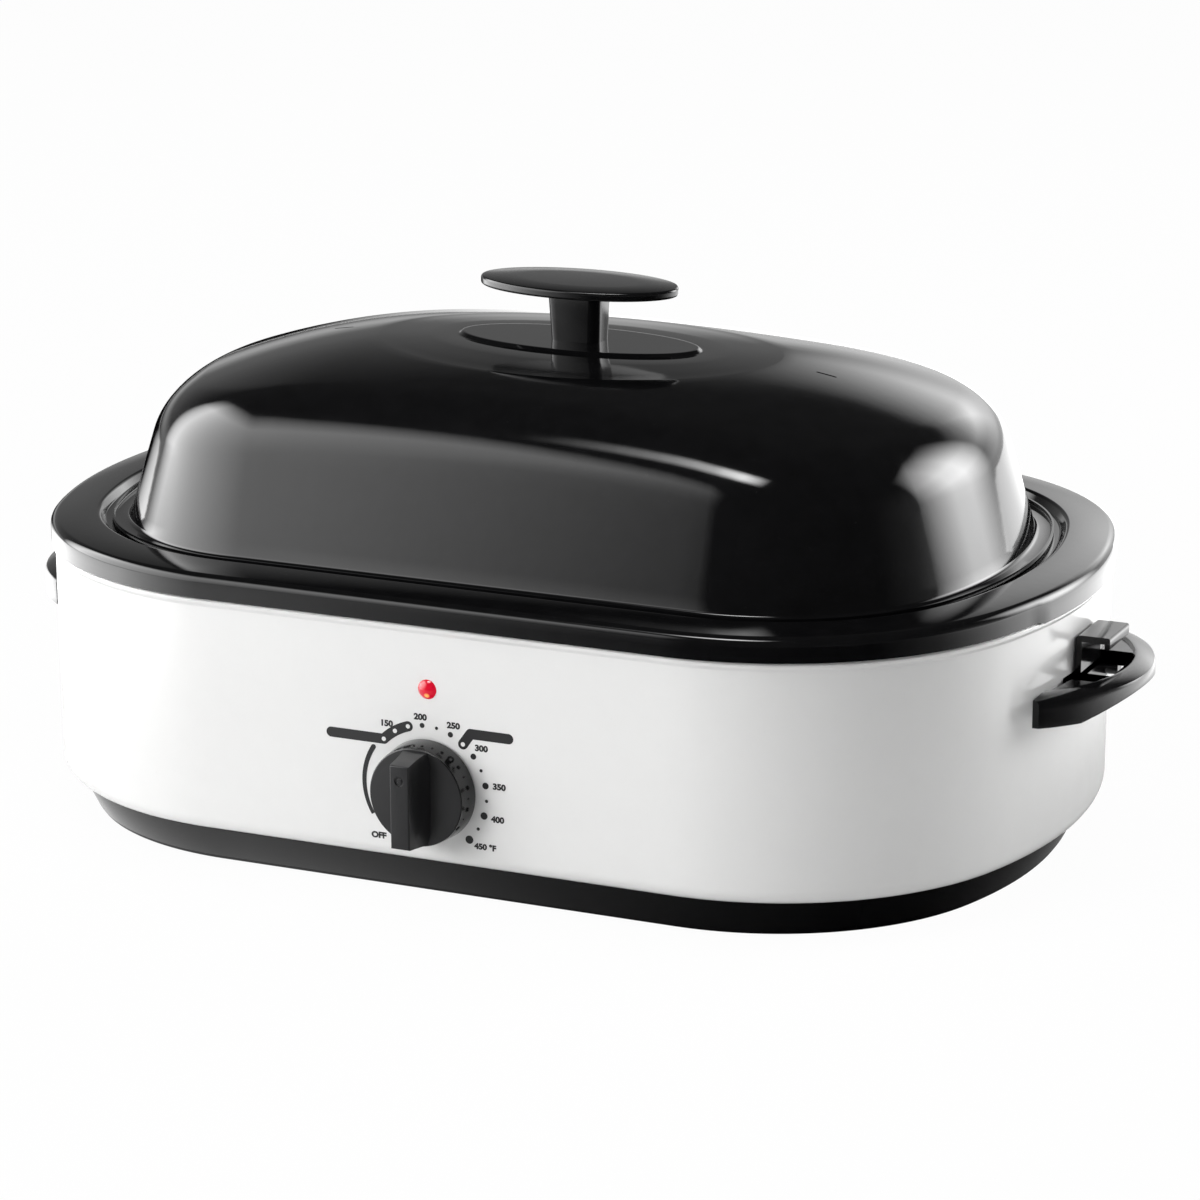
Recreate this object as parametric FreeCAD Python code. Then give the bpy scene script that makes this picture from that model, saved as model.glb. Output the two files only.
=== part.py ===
import FreeCAD, Part
import math
import os

# Electric roaster oven: a white steel body on a black base, a heated well with a lift-out
# enamelled pan and rack, a domed lift-off lid, two side handles and a thermostat knob.
# Millimetres. X runs to the right along the length, Y to the back, Z up from the floor.
# Every piece is built about the body's own middle and moved to the part's frame when it is
# written, so that the origin lies under the middle of the whole footprint.

V = FreeCAD.Vector
X_AXIS = V(1, 0, 0)
Y_AXIS = V(0, 1, 0)
Z_AXIS = V(0, 0, 1)

# Plan outline of the pan's rim: straight front and back, round corners, bowed ends
RIM_HALF_LENGTH = 275.6
RIM_HALF_WIDTH = 184.0
CORNER_RADIUS = 145.0
END_RADIUS = 270.0
CORE_INSET = 100.0

# Bends in thin sheet are drawn as a few flats: a larger value gives fewer of them
BEND_COARSENESS = 1.9

# Seats and clearances
SLIP_GAP = 0.3
RUNNING_GAP = 0.1
SCREW_HOLE_GAP = 0.2

# Base and feet
FOOT_HEIGHT = 3.0
FOOT_RADIUS = 11.0
FOOT_STEM_RADIUS = 4.0
FOOT_LIP = 1.5
FOOT_X = 185.0
FOOT_Y = 105.0
BASE_HEIGHT = 19.5
BASE_WALL = 2.5
BASE_BOTTOM_INSET = 18.5
BASE_TOP_INSET = 10.0
BASE_STEP = 1.2
BASE_LEDGE = 12.0
BASE_SLOT_LENGTH = 46.0
BASE_SLOT_WIDTH = 5.0
BASE_SLOT_PITCH = 14.0
BASE_SLOT_ROWS = 5
BOSS_RADIUS = 5.5

# Painted steel shell
SHELL_SHEET = 0.9
SHELL_HEIGHT = 129.7
SHELL_WALL_INSET = 3.4
SHELL_STRETCH = 1.6
SHELL_FOOT_BEND = 8.0
SHELL_TOP_BEND = 3.0
SHELL_FOOT_FLANGE = 28.0
SHELL_TOP_FLANGE = 16.0
BEAD_DROP = 9.6
BEAD_HEIGHT = 4.6
BEAD_PROUD = 0.8
REAR_PANEL_HALF = 112.0
SEAM_GAP = 0.1
LAP_TAB = 8.0
LAP_MARGIN = 12.0

# Heated well
WELL_SHEET = 0.8
WELL_WALL_INSET = 37.6
WELL_TAPER = 1.6
WELL_FLANGE_EDGE = 6.0
WELL_DEPTH = 120.2
WELL_CORNER = 18.0
WELL_MOUTH_BEND = 3.0

# Heater, insulation and heat shield around the well
BAND_THICKNESS = 2.4
BAND_BOTTOM = 48.0
BAND_HEIGHT = 56.0
BAND_LUG = 9.0
BAND_GAP = 14.0
BAND_BOLT_RADIUS = 2.0
BLANKET_OUTER_INSET = 15.0
BLANKET_TOP = 146.0
POCKET_GAP = 1.0
SHIELD_SHEET = 0.8
SHIELD_INSET = 14.5

# Lift-out pan
PAN_SHEET = 1.0
RIM_RISE = 3.0
RIM_CROWN = 1.5
RIM_WIDTH = 25.2
RIM_EDGE_BEND = 4.5
SKIRT_DROP = 12.0
SKIRT_STEP = 0.8
SKIRT_STEP_HALF_WIDTH = 56.0
LEDGE_START = 28.4
LEDGE_END = 45.5
LEDGE_BEND = 4.5
PAN_DEPTH = 116.5
PAN_TAPER = 9.0
PAN_CORNER = 24.0

# Wire rack
RACK_FRAME_DEPTH = 6.0
RACK_FRAME_THICKNESS = 2.4
RACK_WIRE_RADIUS = 1.6
RACK_LOOP_RADIUS = 2.5
RACK_INSET = 84.0
RACK_HEIGHT = 11.0
RACK_WIRE_PITCH = 26.0
RACK_WIRE_COUNT = 13
RACK_LEG_X = 120.0
RACK_LOOP_HEIGHT = 62.0
RACK_LOOP_HALF_WIDTH = 48.0
RACK_LOOP_BEND = 14.0

# Lid
LID_SHEET = 1.0
LID_EDGE_INSET = 31.8
LID_LIP = 2.4
LID_WALL_INSET = 41.0
LID_WALL_LEAN = 17.0
LID_FOOT_BEND = 2.5
LID_JOIN = 5.0
LID_HEIGHT = 96.5
CROWN_FLAT_HALF = 100.0
CROWN_LONG_RADIUS = 1400.0
CROWN_END_RADIUS = 370.0
CROWN_CROSS_RADIUS = 450.0
LID_SHOULDER = 42.0
PLATEAU_DROP = 3.5
PAD_HALF_LENGTH = 65.0
PAD_HALF_WIDTH = 27.5
PAD_RISE = 2.0
PAD_SLOPE = 1.6
OVAL_FULLNESS = 1.25
VENT_X = 135.0
VENT_LENGTH = 11.0
VENT_WIDTH = 1.8

# Lid handle
GRIP_HALF_LENGTH = 53.8
GRIP_HALF_WIDTH = 28.0
GRIP_THICKNESS = 4.5
GRIP_EDGE = 1.4
GRIP_DOME = 0.8
STEM_HEIGHT = 26.6
STEM_TOP_HALF = (14.8, 10.5)
STEM_FOOT_HALF = (13.5, 9.0)
STEM_CORNER = 6.0
STEM_WALL = 3.0
LID_SCREW_RADIUS = 2.5
LID_SCREW_HEAD = (5.0, 3.2)
LID_SCREW_BITE = 15.0
WASHER_RADIUS = 9.0
WASHER_THICKNESS = 1.2

# Side handles
HANDLE_REACH = 31.2
HANDLE_ARC_RADIUS = 89.0
HANDLE_HALF_LENGTH = 69.0
HANDLE_TOP = 109.0
HANDLE_BAND = 8.5
HANDLE_WALL = 3.5
HANDLE_PLATE = 3.5
HANDLE_TIP_DEPTH = 14.0
HANDLE_TIP_STANDOFF = 3.0
HANDLE_RIDGE_RISE = 1.6
HANDLE_RIDGE_WIDTH = 1.6
HANDLE_ARCH_HALF = 52.0
HANDLE_ARCH_RISE = 8.0
SHELF_EDGE_PROUD = 3.0
FOOT_PLATE_HALF = 28.0
FOOT_PLATE_THICKNESS = 3.5
FOOT_PLATE_DEPTH = 13.0
STRIP_HALF = 62.0
STRIP_THICKNESS = 2.6
STRIP_DROP = 2.5
WINDOW_HALF = 15.2
WINDOW_DEPTH = 16.0
CLIP_LEG = 3.5
CLIP_PLATE = 3.3
CLIP_REACH = 18.0
CLIP_RISE = 19.0
CLIP_LIP = 6.4
CLIP_LIP_THICKNESS = 2.8
HANDLE_SCREW_ANGLE = 5.6
HANDLE_SCREW_RADIUS = 2.0
HANDLE_SCREW_HEAD = (4.0, 2.6)
HANDLE_SCREW_BITE = 9.0
HANDLE_SCREW_DROP = 7.0

# Thermostat, shaft and knob
KNOB_HEIGHT = 61.5
KNOB_GAP = 1.0
KNOB_SKIRT_RADIUS = 26.0
KNOB_FACE_RADIUS = 24.9
KNOB_FACE_REACH = 14.5
KNOB_REACH = 32.0
KNOB_WALL = 2.2
KNOB_GRIP_HALF = 5.0
KNOB_GRIP_ROOT_HALF = 8.6
KNOB_GRIP_END = 21.2
KNOB_DIMPLE_RADIUS = 2.5
KNOB_DIMPLE_UP = 13.5
KNOB_DIMPLE_DEPTH = 0.6
KNOB_BOSS_RADIUS = 6.0
SHAFT_RADIUS = 3.0
SHAFT_FLAT = 2.2
SHAFT_TAIL = 22.0
SHAFT_BITE = 12.0
BUSH_RADIUS = 5.0
BUSH_PROUD = 2.4
THERMOSTAT_HALF_WIDTH = 18.0
THERMOSTAT_HALF_HEIGHT = 21.0
THERMOSTAT_DEPTH = 20.0
BRACKET_HALF_WIDTH = 24.0
BRACKET_SHEET = 1.5
DIAL_SCREW_OFFSET = 14.0
DIAL_SCREW_RADIUS = 2.0
DIAL_SCREW_HEAD = (3.8, 2.2)
DIAL_SCREW_LENGTH = 7.0

# Indicator lamp
LAMP_HEIGHT = 112.5
LAMP_BARREL_RADIUS = 4.2
LAMP_DOME_RADIUS = 5.0
LAMP_DOME_RISE = 2.6
LAMP_BARREL_LENGTH = 9.0
LAMP_WALL = 0.9
NEON_RADIUS = 2.6
NEON_LENGTH = 20.0
RETAINER_RADIUS = 7.5
RETAINER_SHEET = 1.2

# Rear cord gland and terminal block
GLAND_X = 95.0
GLAND_HEIGHT = 42.0
GLAND_RADIUS = 7.0
GLAND_FLANGE_RADIUS = 10.0
GLAND_PROUD = 6.4
GLAND_TAIL = 8.0
GLAND_BORE = 4.0
TERMINAL_LENGTH = 34.0
TERMINAL_WIDTH = 16.0
TERMINAL_HEIGHT = 11.0
TERMINAL_PORT_RADIUS = 2.2
TERMINAL_GAP = 4.0

# Base screws and nuts
BASE_SCREW_RADIUS = 2.0
BASE_SCREW_HEAD = (4.2, 2.6)
BASE_SCREW_PROUD = 5.0
BASE_SCREW_ANGLE = 45.0
BASE_SCREW_INSET = 26.5
NUT_HALF_WIDTH = 4.0
NUT_HEIGHT = 3.0

# Heights that follow from the sizes above
BASE_BOTTOM = FOOT_HEIGHT
BASE_TOP = BASE_BOTTOM + BASE_HEIGHT
SHELL_TOP = BASE_TOP + SHELL_HEIGHT
WELL_FLOOR = SHELL_TOP - WELL_DEPTH
SHIELD_TOP = BASE_TOP + SHELL_SHEET + SHIELD_SHEET
PAN_LEDGE = SHELL_TOP + WELL_SHEET + PAN_SHEET
RIM_TOP = PAN_LEDGE + RIM_RISE
PAN_FLOOR = PAN_LEDGE - PAN_DEPTH
SKIRT_BOTTOM = RIM_TOP - SKIRT_DROP
LID_SEAT = PAN_LEDGE
CROWN_TOP = LID_SEAT + LID_HEIGHT
PLATEAU = CROWN_TOP - PLATEAU_DROP
PAD_TOP = PLATEAU + PAD_RISE
GRIP_BOTTOM = PAD_TOP + STEM_HEIGHT
WALL_HALF_LENGTH = RIM_HALF_LENGTH - SHELL_WALL_INSET + SHELL_STRETCH
WALL_HALF_WIDTH = RIM_HALF_WIDTH - SHELL_WALL_INSET
END_BOW = END_RADIUS - math.sqrt(END_RADIUS ** 2 - RACK_LOOP_HALF_WIDTH ** 2)
INNER_HALF_WIDTH = WALL_HALF_WIDTH - SHELL_SHEET

# The origin lies under the middle of the footprint, from the knob's face to the gland's face
FRONT_REACH = WALL_HALF_WIDTH + KNOB_REACH
REAR_REACH = WALL_HALF_WIDTH + GLAND_PROUD
FRAME_SHIFT = V(0, (FRONT_REACH - max(REAR_REACH, RIM_HALF_WIDTH)) / 2, 0)


# ---------------------------------------------------------------- plan outline

def outline_joint():
    """Half angle of an end arc, and half length of the straight front."""
    half = math.asin((RIM_HALF_WIDTH - CORNER_RADIUS) / (END_RADIUS - CORNER_RADIUS))
    run = RIM_HALF_LENGTH - END_RADIUS + (END_RADIUS - CORNER_RADIUS) * math.cos(half)
    return math.degrees(half), run


def outline_arcs(stretch=0):
    """The six arcs as (centre x, centre y, radius, start, end), anticlockwise, in degrees.

    The ends lie stretch further out than the rim's own.
    """
    half, run = outline_joint()
    run += stretch
    side = RIM_HALF_WIDTH - CORNER_RADIUS
    end = RIM_HALF_LENGTH - END_RADIUS + stretch
    return [
        (run, -side, CORNER_RADIUS, -90, -half),
        (end, 0, END_RADIUS, -half, half),
        (run, side, CORNER_RADIUS, half, 90),
        (-run, side, CORNER_RADIUS, 90, 180 - half),
        (-end, 0, END_RADIUS, 180 - half, 180 + half),
        (-run, -side, CORNER_RADIUS, 180 + half, 270),
    ]


def outline_wire(inset, z, stretch=0):
    """The plan outline at height z, moved inwards by inset."""
    run = outline_joint()[1] + stretch
    edge = RIM_HALF_WIDTH - inset
    arcs = [
        Part.makeCircle(r - inset, V(cx, cy, z), Z_AXIS, a, b)
        for cx, cy, r, a, b in outline_arcs(stretch)
    ]
    front = Part.makeLine(V(-run, -edge, z), V(run, -edge, z))
    back = Part.makeLine(V(run, edge, z), V(-run, edge, z))
    return Part.Wire([front] + arcs[:3] + [back] + arcs[3:])


def prism(inset, low, high, stretch=0):
    """A full block of the plan outline."""
    return Part.Face(outline_wire(inset, low, stretch)).extrude(V(0, 0, high - low))


def bend_points(before, here, after, radius):
    """Points round a bend of the given radius: few flats, with their corners on the arc."""
    if radius <= 0:
        return [here]
    back = (before - here).normalize()
    ahead = (after - here).normalize()
    half = back.getAngle(ahead) / 2
    inwards = (back + ahead).normalize()
    centre = here + inwards * (radius / math.sin(half))
    start = here + back * (radius / math.tan(half)) - centre
    turn = math.pi - 2 * half
    flats = max(1, round(turn * math.sqrt(radius) / BEND_COARSENESS))
    side = back.cross(ahead).normalize() * -1
    points = []
    for i in range(flats + 1):
        angle = turn * i / flats
        points.append(centre + start * math.cos(angle) + side.cross(start) * math.sin(angle))
    return points


def profile_wire(corners):
    """A closed wire in the XZ plane through (inset, z, radius) corners, with x = -inset."""
    spots = [V(-inset, 0, z) for inset, z, radius in corners]
    points = []
    for i, corner in enumerate(corners):
        points += bend_points(spots[i - 1], spots[i], spots[(i + 1) % len(spots)], corner[2])
    return Part.makePolygon(points + [points[0]])


def bent_sheet(path, thickness):
    """Closed (inset, z, radius) corners of a sheet whose skin follows path.

    The sheet lies to the left of the path, seen with outwards to the right and up ahead.
    """
    count = len(path)
    ways = []
    for i in range(count - 1):
        step = V(-(path[i + 1][0] - path[i][0]), 0, path[i + 1][1] - path[i][1])
        ways.append(step.normalize())
    lefts = [V(-way.z, 0, way.x) for way in ways]
    inner = []
    for i, (inset, z, radius) in enumerate(path):
        first = lefts[max(i - 1, 0)]
        second = lefts[min(i, count - 2)]
        mitre = (first + second) * (thickness / (1 + first.dot(second)))
        turn = 0
        if 0 < i < count - 1:
            turn = ways[i - 1].x * ways[i].z - ways[i - 1].z * ways[i].x
        bend = 0
        if radius > 0:
            bend = radius - thickness if turn > 0 else radius + thickness
        inner.append((inset - mitre.x, z + mitre.z, max(bend, 0)))
    return list(path) + inner[::-1]


def sweep(corners, stretch=0):
    """Carry a closed profile of (inset, z, radius) corners around the whole outline."""
    face = Part.Face(profile_wire(corners))
    run = outline_joint()[1] + stretch
    pieces = []
    for cx, cy, radius, start, end in outline_arcs(stretch):
        piece = face.copy()
        piece.translate(V(radius, 0, 0))
        piece.rotate(V(0, 0, 0), Z_AXIS, start)
        piece.translate(V(cx, cy, 0))
        pieces.append(piece.revolve(V(cx, cy, 0), Z_AXIS, end - start))
    for side in (-1, 1):
        piece = face.copy()
        piece.rotate(V(0, 0, 0), Z_AXIS, 90 * side)
        piece.translate(V(run * side, RIM_HALF_WIDTH * side, 0))
        pieces.append(piece.extrude(V(-2 * run * side, 0, 0)))
    return pieces[0].multiFuse(pieces[1:]).removeSplitter()


def block(x0, x1, y0, y1, z0, z1):
    return Part.makeBox(x1 - x0, y1 - y0, z1 - z0, V(x0, y0, z0))


def rod(radius, start, end):
    return Part.makeCylinder(radius, (end - start).Length, start, end - start)


def rounded_rectangle(half_x, half_y, corner, z):
    """A flat rounded rectangle at height z, as a wire."""
    corner_edges = []
    spots = ((1, -1, -90), (1, 1, 0), (-1, 1, 90), (-1, -1, 180))
    for sx, sy, start in spots:
        centre = V(sx * (half_x - corner), sy * (half_y - corner), z)
        corner_edges.append(Part.makeCircle(corner, centre, Z_AXIS, start, start + 90))
    edges = []
    for i, edge in enumerate(corner_edges):
        after = corner_edges[(i + 1) % 4]
        edges.append(edge)
        edges.append(Part.makeLine(edge.lastVertex().Point, after.firstVertex().Point))
    return Part.Wire(edges)


def slot(length, width, low, high):
    """An upright slot-shaped cutter, long along X, about the Z axis."""
    reach = (length - width) / 2
    middle = block(-reach, reach, -width / 2, width / 2, low, high)
    ends = [rod(width / 2, V(s * reach, 0, low), V(s * reach, 0, high)) for s in (-1, 1)]
    return middle.multiFuse(ends).removeSplitter()


def on_wall(angle, inset, z):
    """A point on the shell's right-hand end arc and the way outwards there."""
    a = math.radians(angle)
    out = V(math.cos(a), math.sin(a), 0)
    centre = V(RIM_HALF_LENGTH - END_RADIUS + SHELL_STRETCH, 0, z)
    return centre + out * (END_RADIUS - inset), out


def corner_spots(inset, angle):
    """Four matching points in the four corners of the plan."""
    run = outline_joint()[1]
    side = RIM_HALF_WIDTH - CORNER_RADIUS
    a = math.radians(angle)
    x = run + (CORNER_RADIUS - inset) * math.cos(a)
    y = side + (CORNER_RADIUS - inset) * math.sin(a)
    return [(sx * x, sy * y) for sx in (-1, 1) for sy in (-1, 1)]


def front_point(z, reach):
    """A point on the front wall's middle line, reach outwards from its outer face."""
    return V(0, -WALL_HALF_WIDTH - reach, z)


def hexagon(radius, start, way, height):
    """A six-sided prism with the given corner radius, standing on start along way."""
    turn = FreeCAD.Rotation(Z_AXIS, way)
    points = []
    for i in range(6):
        angle = math.radians(60 * i)
        points.append(start + turn.multVec(V(radius * math.cos(angle), radius * math.sin(angle), 0)))
    return Part.Face(Part.makePolygon(points + [points[0]])).extrude(way * height)


def hexagon_screw(start, way, shank_radius, length, head):
    """A screw whose six-sided head rests at start and whose shank runs along way."""
    head_radius, head_height = head
    shank = rod(shank_radius, start, start + way * length)
    cap = hexagon(head_radius, start - way * head_height, way, head_height)
    return cap.fuse(shank).removeSplitter()


# ---------------------------------------------------------------- body

def wrap_ring():
    """The steel wall all round: rolled in at the foot, a bead, and a flange on top."""
    bead_low = SHELL_TOP - BEAD_DROP - BEAD_HEIGHT / 2
    bead_high = bead_low + BEAD_HEIGHT
    wall = SHELL_WALL_INSET
    bend = SHELL_SHEET
    path = [
        (wall + SHELL_FOOT_FLANGE, BASE_TOP, 0),
        (wall, BASE_TOP, SHELL_FOOT_BEND),
        (wall, bead_low, bend),
        (wall - BEAD_PROUD, bead_low + BEAD_PROUD, bend + 0.2),
        (wall - BEAD_PROUD, bead_high - BEAD_PROUD, bend + 0.2),
        (wall, bead_high, bend),
        (wall, SHELL_TOP, SHELL_TOP_BEND),
        (wall + SHELL_TOP_FLANGE, SHELL_TOP, 0),
    ]
    return sweep(bent_sheet(path, SHELL_SHEET), SHELL_STRETCH)


def rear_block(half):
    """Block over the rear wall, half wide to each side."""
    return block(-half, half, 0, RIM_HALF_WIDTH, BASE_TOP - 1, SHELL_TOP + 1)


def outer_shell():
    """White steel wrap round the front and both ends, open where the rear panel closes it."""
    shell = wrap_ring().cut(rear_block(REAR_PANEL_HALF))
    cutters = [
        rod(BUSH_RADIUS + SCREW_HOLE_GAP, front_point(KNOB_HEIGHT, 5), front_point(KNOB_HEIGHT, -5)),
        rod(LAMP_BARREL_RADIUS + RUNNING_GAP, front_point(LAMP_HEIGHT, 5), front_point(LAMP_HEIGHT, -5)),
    ]
    for point in dial_screw_spots(5):
        cutters.append(rod(DIAL_SCREW_RADIUS + SCREW_HOLE_GAP, point, point + Y_AXIS * 10))
    for point, way in handle_screw_spots():
        cutters.append(rod(HANDLE_SCREW_RADIUS + SCREW_HOLE_GAP, point - way * 5, point + way * 5))
    for x, y in corner_spots(BASE_SCREW_INSET, BASE_SCREW_ANGLE):
        hole = V(x, y, BASE_TOP - 2)
        cutters.append(rod(BASE_SCREW_RADIUS + SCREW_HOLE_GAP, hole, hole + Z_AXIS * 6))
    return shell.cut(cutters)


def rear_panel():
    """Closing panel of the wrap, with lapped tabs behind the shell's edges and the cord's hole."""
    half = REAR_PANEL_HALF
    panel = wrap_ring().common(rear_block(half - SEAM_GAP))
    low = BASE_TOP + LAP_MARGIN
    high = SHELL_TOP - BEAD_DROP - BEAD_HEIGHT / 2 - LAP_MARGIN
    outer = INNER_HALF_WIDTH
    inner = outer - SHELL_SHEET
    tabs = [
        block(half - LAP_TAB, half + LAP_TAB, inner, outer, low, high),
        block(-half - LAP_TAB, -half + LAP_TAB, inner, outer, low, high),
    ]
    gland = V(GLAND_X, WALL_HALF_WIDTH, GLAND_HEIGHT)
    hole = rod(GLAND_RADIUS + RUNNING_GAP, gland - Y_AXIS * 5, gland + Y_AXIS * 5)
    return panel.multiFuse(tabs).removeSplitter().cut(hole)


def heat_well():
    """Steel well that hangs by its flange on the shell and holds the pan."""
    path = [
        (WELL_FLANGE_EDGE, SHELL_TOP, 0),
        (WELL_WALL_INSET, SHELL_TOP, WELL_MOUTH_BEND),
        (WELL_WALL_INSET + WELL_TAPER, WELL_FLOOR, WELL_CORNER),
        (CORE_INSET, WELL_FLOOR, 0),
    ]
    ring = sweep(bent_sheet(path[::-1], WELL_SHEET))
    floor = prism(CORE_INSET, WELL_FLOOR, WELL_FLOOR + WELL_SHEET)
    return ring.fuse(floor).removeSplitter()


def band_inset(z):
    """Inset of the well's outer face at height z."""
    share = (SHELL_TOP - z) / WELL_DEPTH
    return WELL_WALL_INSET + WELL_TAPER * share


def heating_band():
    """Wrap-around heater on the well's wall, parted at the back between two bolted lugs."""
    low = BAND_BOTTOM
    high = BAND_BOTTOM + BAND_HEIGHT
    outer = band_inset(high) - BAND_THICKNESS
    ring = sweep([
        (band_inset(low), low, 0),
        (band_inset(high), high, 0),
        (outer, high, 0),
        (outer, low, 0),
    ])
    back = RIM_HALF_WIDTH - outer
    gap = block(-BAND_GAP / 2, BAND_GAP / 2, 0, back + 5, low - 1, high + 1)
    band = ring.cut(gap)
    lugs = []
    for side in (-1, 1):
        x = side * BAND_GAP / 2
        edge = x + side * BAND_THICKNESS
        lugs.append(block(min(x, edge), max(x, edge), back - 1, back + BAND_LUG, low, high))
    band = band.multiFuse(lugs).removeSplitter()
    holes = [
        rod(BAND_BOLT_RADIUS + SCREW_HOLE_GAP, start - X_AXIS * 5, start + X_AXIS * 30)
        for start in band_bolt_spots()
    ]
    return band.cut(holes)


def band_bolt_spots():
    """Where the two clamp bolts' heads sit on the left-hand lug."""
    back = RIM_HALF_WIDTH - band_inset(BAND_BOTTOM + BAND_HEIGHT) + BAND_THICKNESS
    y = back + BAND_LUG * 0.55
    x = -BAND_GAP / 2 - BAND_THICKNESS
    return [V(x, y, BAND_BOTTOM + BAND_HEIGHT * share) for share in (0.25, 0.75)]


def band_bolts():
    """Two bolts and nuts that draw the band tight round the well."""
    grip = BAND_GAP + 2 * BAND_THICKNESS
    solids = []
    for start in band_bolt_spots():
        head = (BAND_BOLT_RADIUS * 1.9, BAND_BOLT_RADIUS * 1.2)
        bolt = hexagon_screw(start, X_AXIS, BAND_BOLT_RADIUS, grip + NUT_HEIGHT + 2, head)
        nut = hexagon(BAND_BOLT_RADIUS * 1.9, start + X_AXIS * grip, X_AXIS, NUT_HEIGHT)
        solids.append(bolt.fuse(nut).removeSplitter())
    return Part.Compound(solids)


def insulation():
    """Glass-fibre blanket between the heater and the shell, cut away where parts pass."""
    inner = band_inset(BAND_BOTTOM + BAND_HEIGHT) - BAND_THICKNESS - 0.5
    low = SHIELD_TOP
    high = BLANKET_TOP
    middle = RIM_HALF_WIDTH / 2
    edge = RIM_HALF_WIDTH
    ring = sweep([
        (inner, low, 0),
        (inner, high, 0),
        (BLANKET_OUTER_INSET, high, 0),
        (BLANKET_OUTER_INSET, low, 0),
    ])
    front_half = BRACKET_HALF_WIDTH + POCKET_GAP
    rear_half = BAND_GAP / 2 + BAND_THICKNESS + NUT_HEIGHT + BAND_BOLT_RADIUS * 3
    tail_half = TERMINAL_LENGTH / 2 + POCKET_GAP
    tail_top = GLAND_HEIGHT + GLAND_FLANGE_RADIUS + POCKET_GAP
    cutters = [
        block(-front_half, front_half, -edge, -middle, low - 1, high + 1),
        block(-rear_half, rear_half, middle, edge, low - 1, high + 1),
        block(GLAND_X - tail_half, GLAND_X + tail_half, middle, edge, low - 1, tail_top),
    ]
    reach = NUT_HALF_WIDTH + POCKET_GAP
    for x, y in corner_spots(BASE_SCREW_INSET, BASE_SCREW_ANGLE):
        pocket_top = low + NUT_HEIGHT + POCKET_GAP
        cutters.append(block(x - reach, x + reach, y - reach, y + reach, low - 1, pocket_top))
    return ring.cut(cutters)


def heat_shield():
    """Sheet tray that closes the body below the well, resting on the shell's foot flange."""
    low = BASE_TOP + SHELL_SHEET
    plate = prism(SHIELD_INSET, low, SHIELD_TOP)
    holes = [
        rod(BASE_SCREW_RADIUS + SCREW_HOLE_GAP, V(x, y, low - 1), V(x, y, low + 3))
        for x, y in corner_spots(BASE_SCREW_INSET, BASE_SCREW_ANGLE)
    ]
    return plate.cut(holes)


def base_pan():
    """Black moulded base: flared sides, a stepped foot line, floor, bosses and air slots."""
    low = BASE_BOTTOM
    top = BASE_TOP
    wall = BASE_WALL
    rise = BASE_STEP * 1.6
    ring = sweep([
        (BASE_BOTTOM_INSET + BASE_STEP, low, 0),
        (BASE_BOTTOM_INSET + BASE_STEP, low + rise, 0),
        (BASE_BOTTOM_INSET, low + rise, 0),
        (BASE_TOP_INSET, top, 0),
        (BASE_TOP_INSET + BASE_LEDGE, top, 0),
        (BASE_TOP_INSET + BASE_LEDGE, top - wall, 0),
        (BASE_TOP_INSET + wall, top - wall, 0),
        (BASE_BOTTOM_INSET + wall + BASE_STEP, low + wall, 0),
        (CORE_INSET, low + wall, 0),
        (CORE_INSET, low, 0),
    ])
    floor = prism(CORE_INSET, low, low + wall)
    spots = corner_spots(BASE_SCREW_INSET, BASE_SCREW_ANGLE)
    bosses = [rod(BOSS_RADIUS, V(x, y, low), V(x, y, top)) for x, y in spots]
    ribs = [
        block(-RIM_HALF_LENGTH * 0.62, RIM_HALF_LENGTH * 0.62, y - 1, y + 1, low + wall, low + wall + 6)
        for y in (-RIM_HALF_WIDTH * 0.45, RIM_HALF_WIDTH * 0.45)
    ]
    base = ring.multiFuse([floor] + bosses + ribs).removeSplitter()
    cutters = []
    for x, y in spots:
        head_radius, head_height = BASE_SCREW_HEAD
        seat = low + head_height + 1
        cutters.append(rod(BASE_SCREW_RADIUS + SCREW_HOLE_GAP, V(x, y, low - 1), V(x, y, top + 1)))
        cutters.append(rod(head_radius + SLIP_GAP, V(x, y, low - 1), V(x, y, seat)))
    for x in (-FOOT_X, FOOT_X):
        for y in (-FOOT_Y, FOOT_Y):
            cutters.append(rod(FOOT_STEM_RADIUS + RUNNING_GAP, V(x, y, low - 1), V(x, y, low + wall + 1)))
    for side in (-1, 1):
        for row in range(BASE_SLOT_ROWS):
            cutter = slot(BASE_SLOT_LENGTH, BASE_SLOT_WIDTH, low - 1, low + wall + 1)
            y = (row - (BASE_SLOT_ROWS - 1) / 2) * BASE_SLOT_PITCH
            cutter.translate(V(side * RIM_HALF_LENGTH * 0.36, y, 0))
            cutters.append(cutter)
    return base.cut(cutters)


def feet():
    """Four rubber feet, each with a stem and a lip that holds it in the base's floor."""
    solids = []
    floor_top = BASE_BOTTOM + BASE_WALL
    for x in (-FOOT_X, FOOT_X):
        for y in (-FOOT_Y, FOOT_Y):
            pad = Part.makeCone(FOOT_RADIUS - 1, FOOT_RADIUS, FOOT_HEIGHT, V(x, y, 0), Z_AXIS)
            stem = rod(FOOT_STEM_RADIUS, V(x, y, FOOT_HEIGHT), V(x, y, floor_top))
            lip = Part.makeCone(
                FOOT_STEM_RADIUS + FOOT_LIP, FOOT_STEM_RADIUS - 1, 3, V(x, y, floor_top), Z_AXIS
            )
            solids.append(pad.multiFuse([stem, lip]).removeSplitter())
    return Part.Compound(solids)


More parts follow.
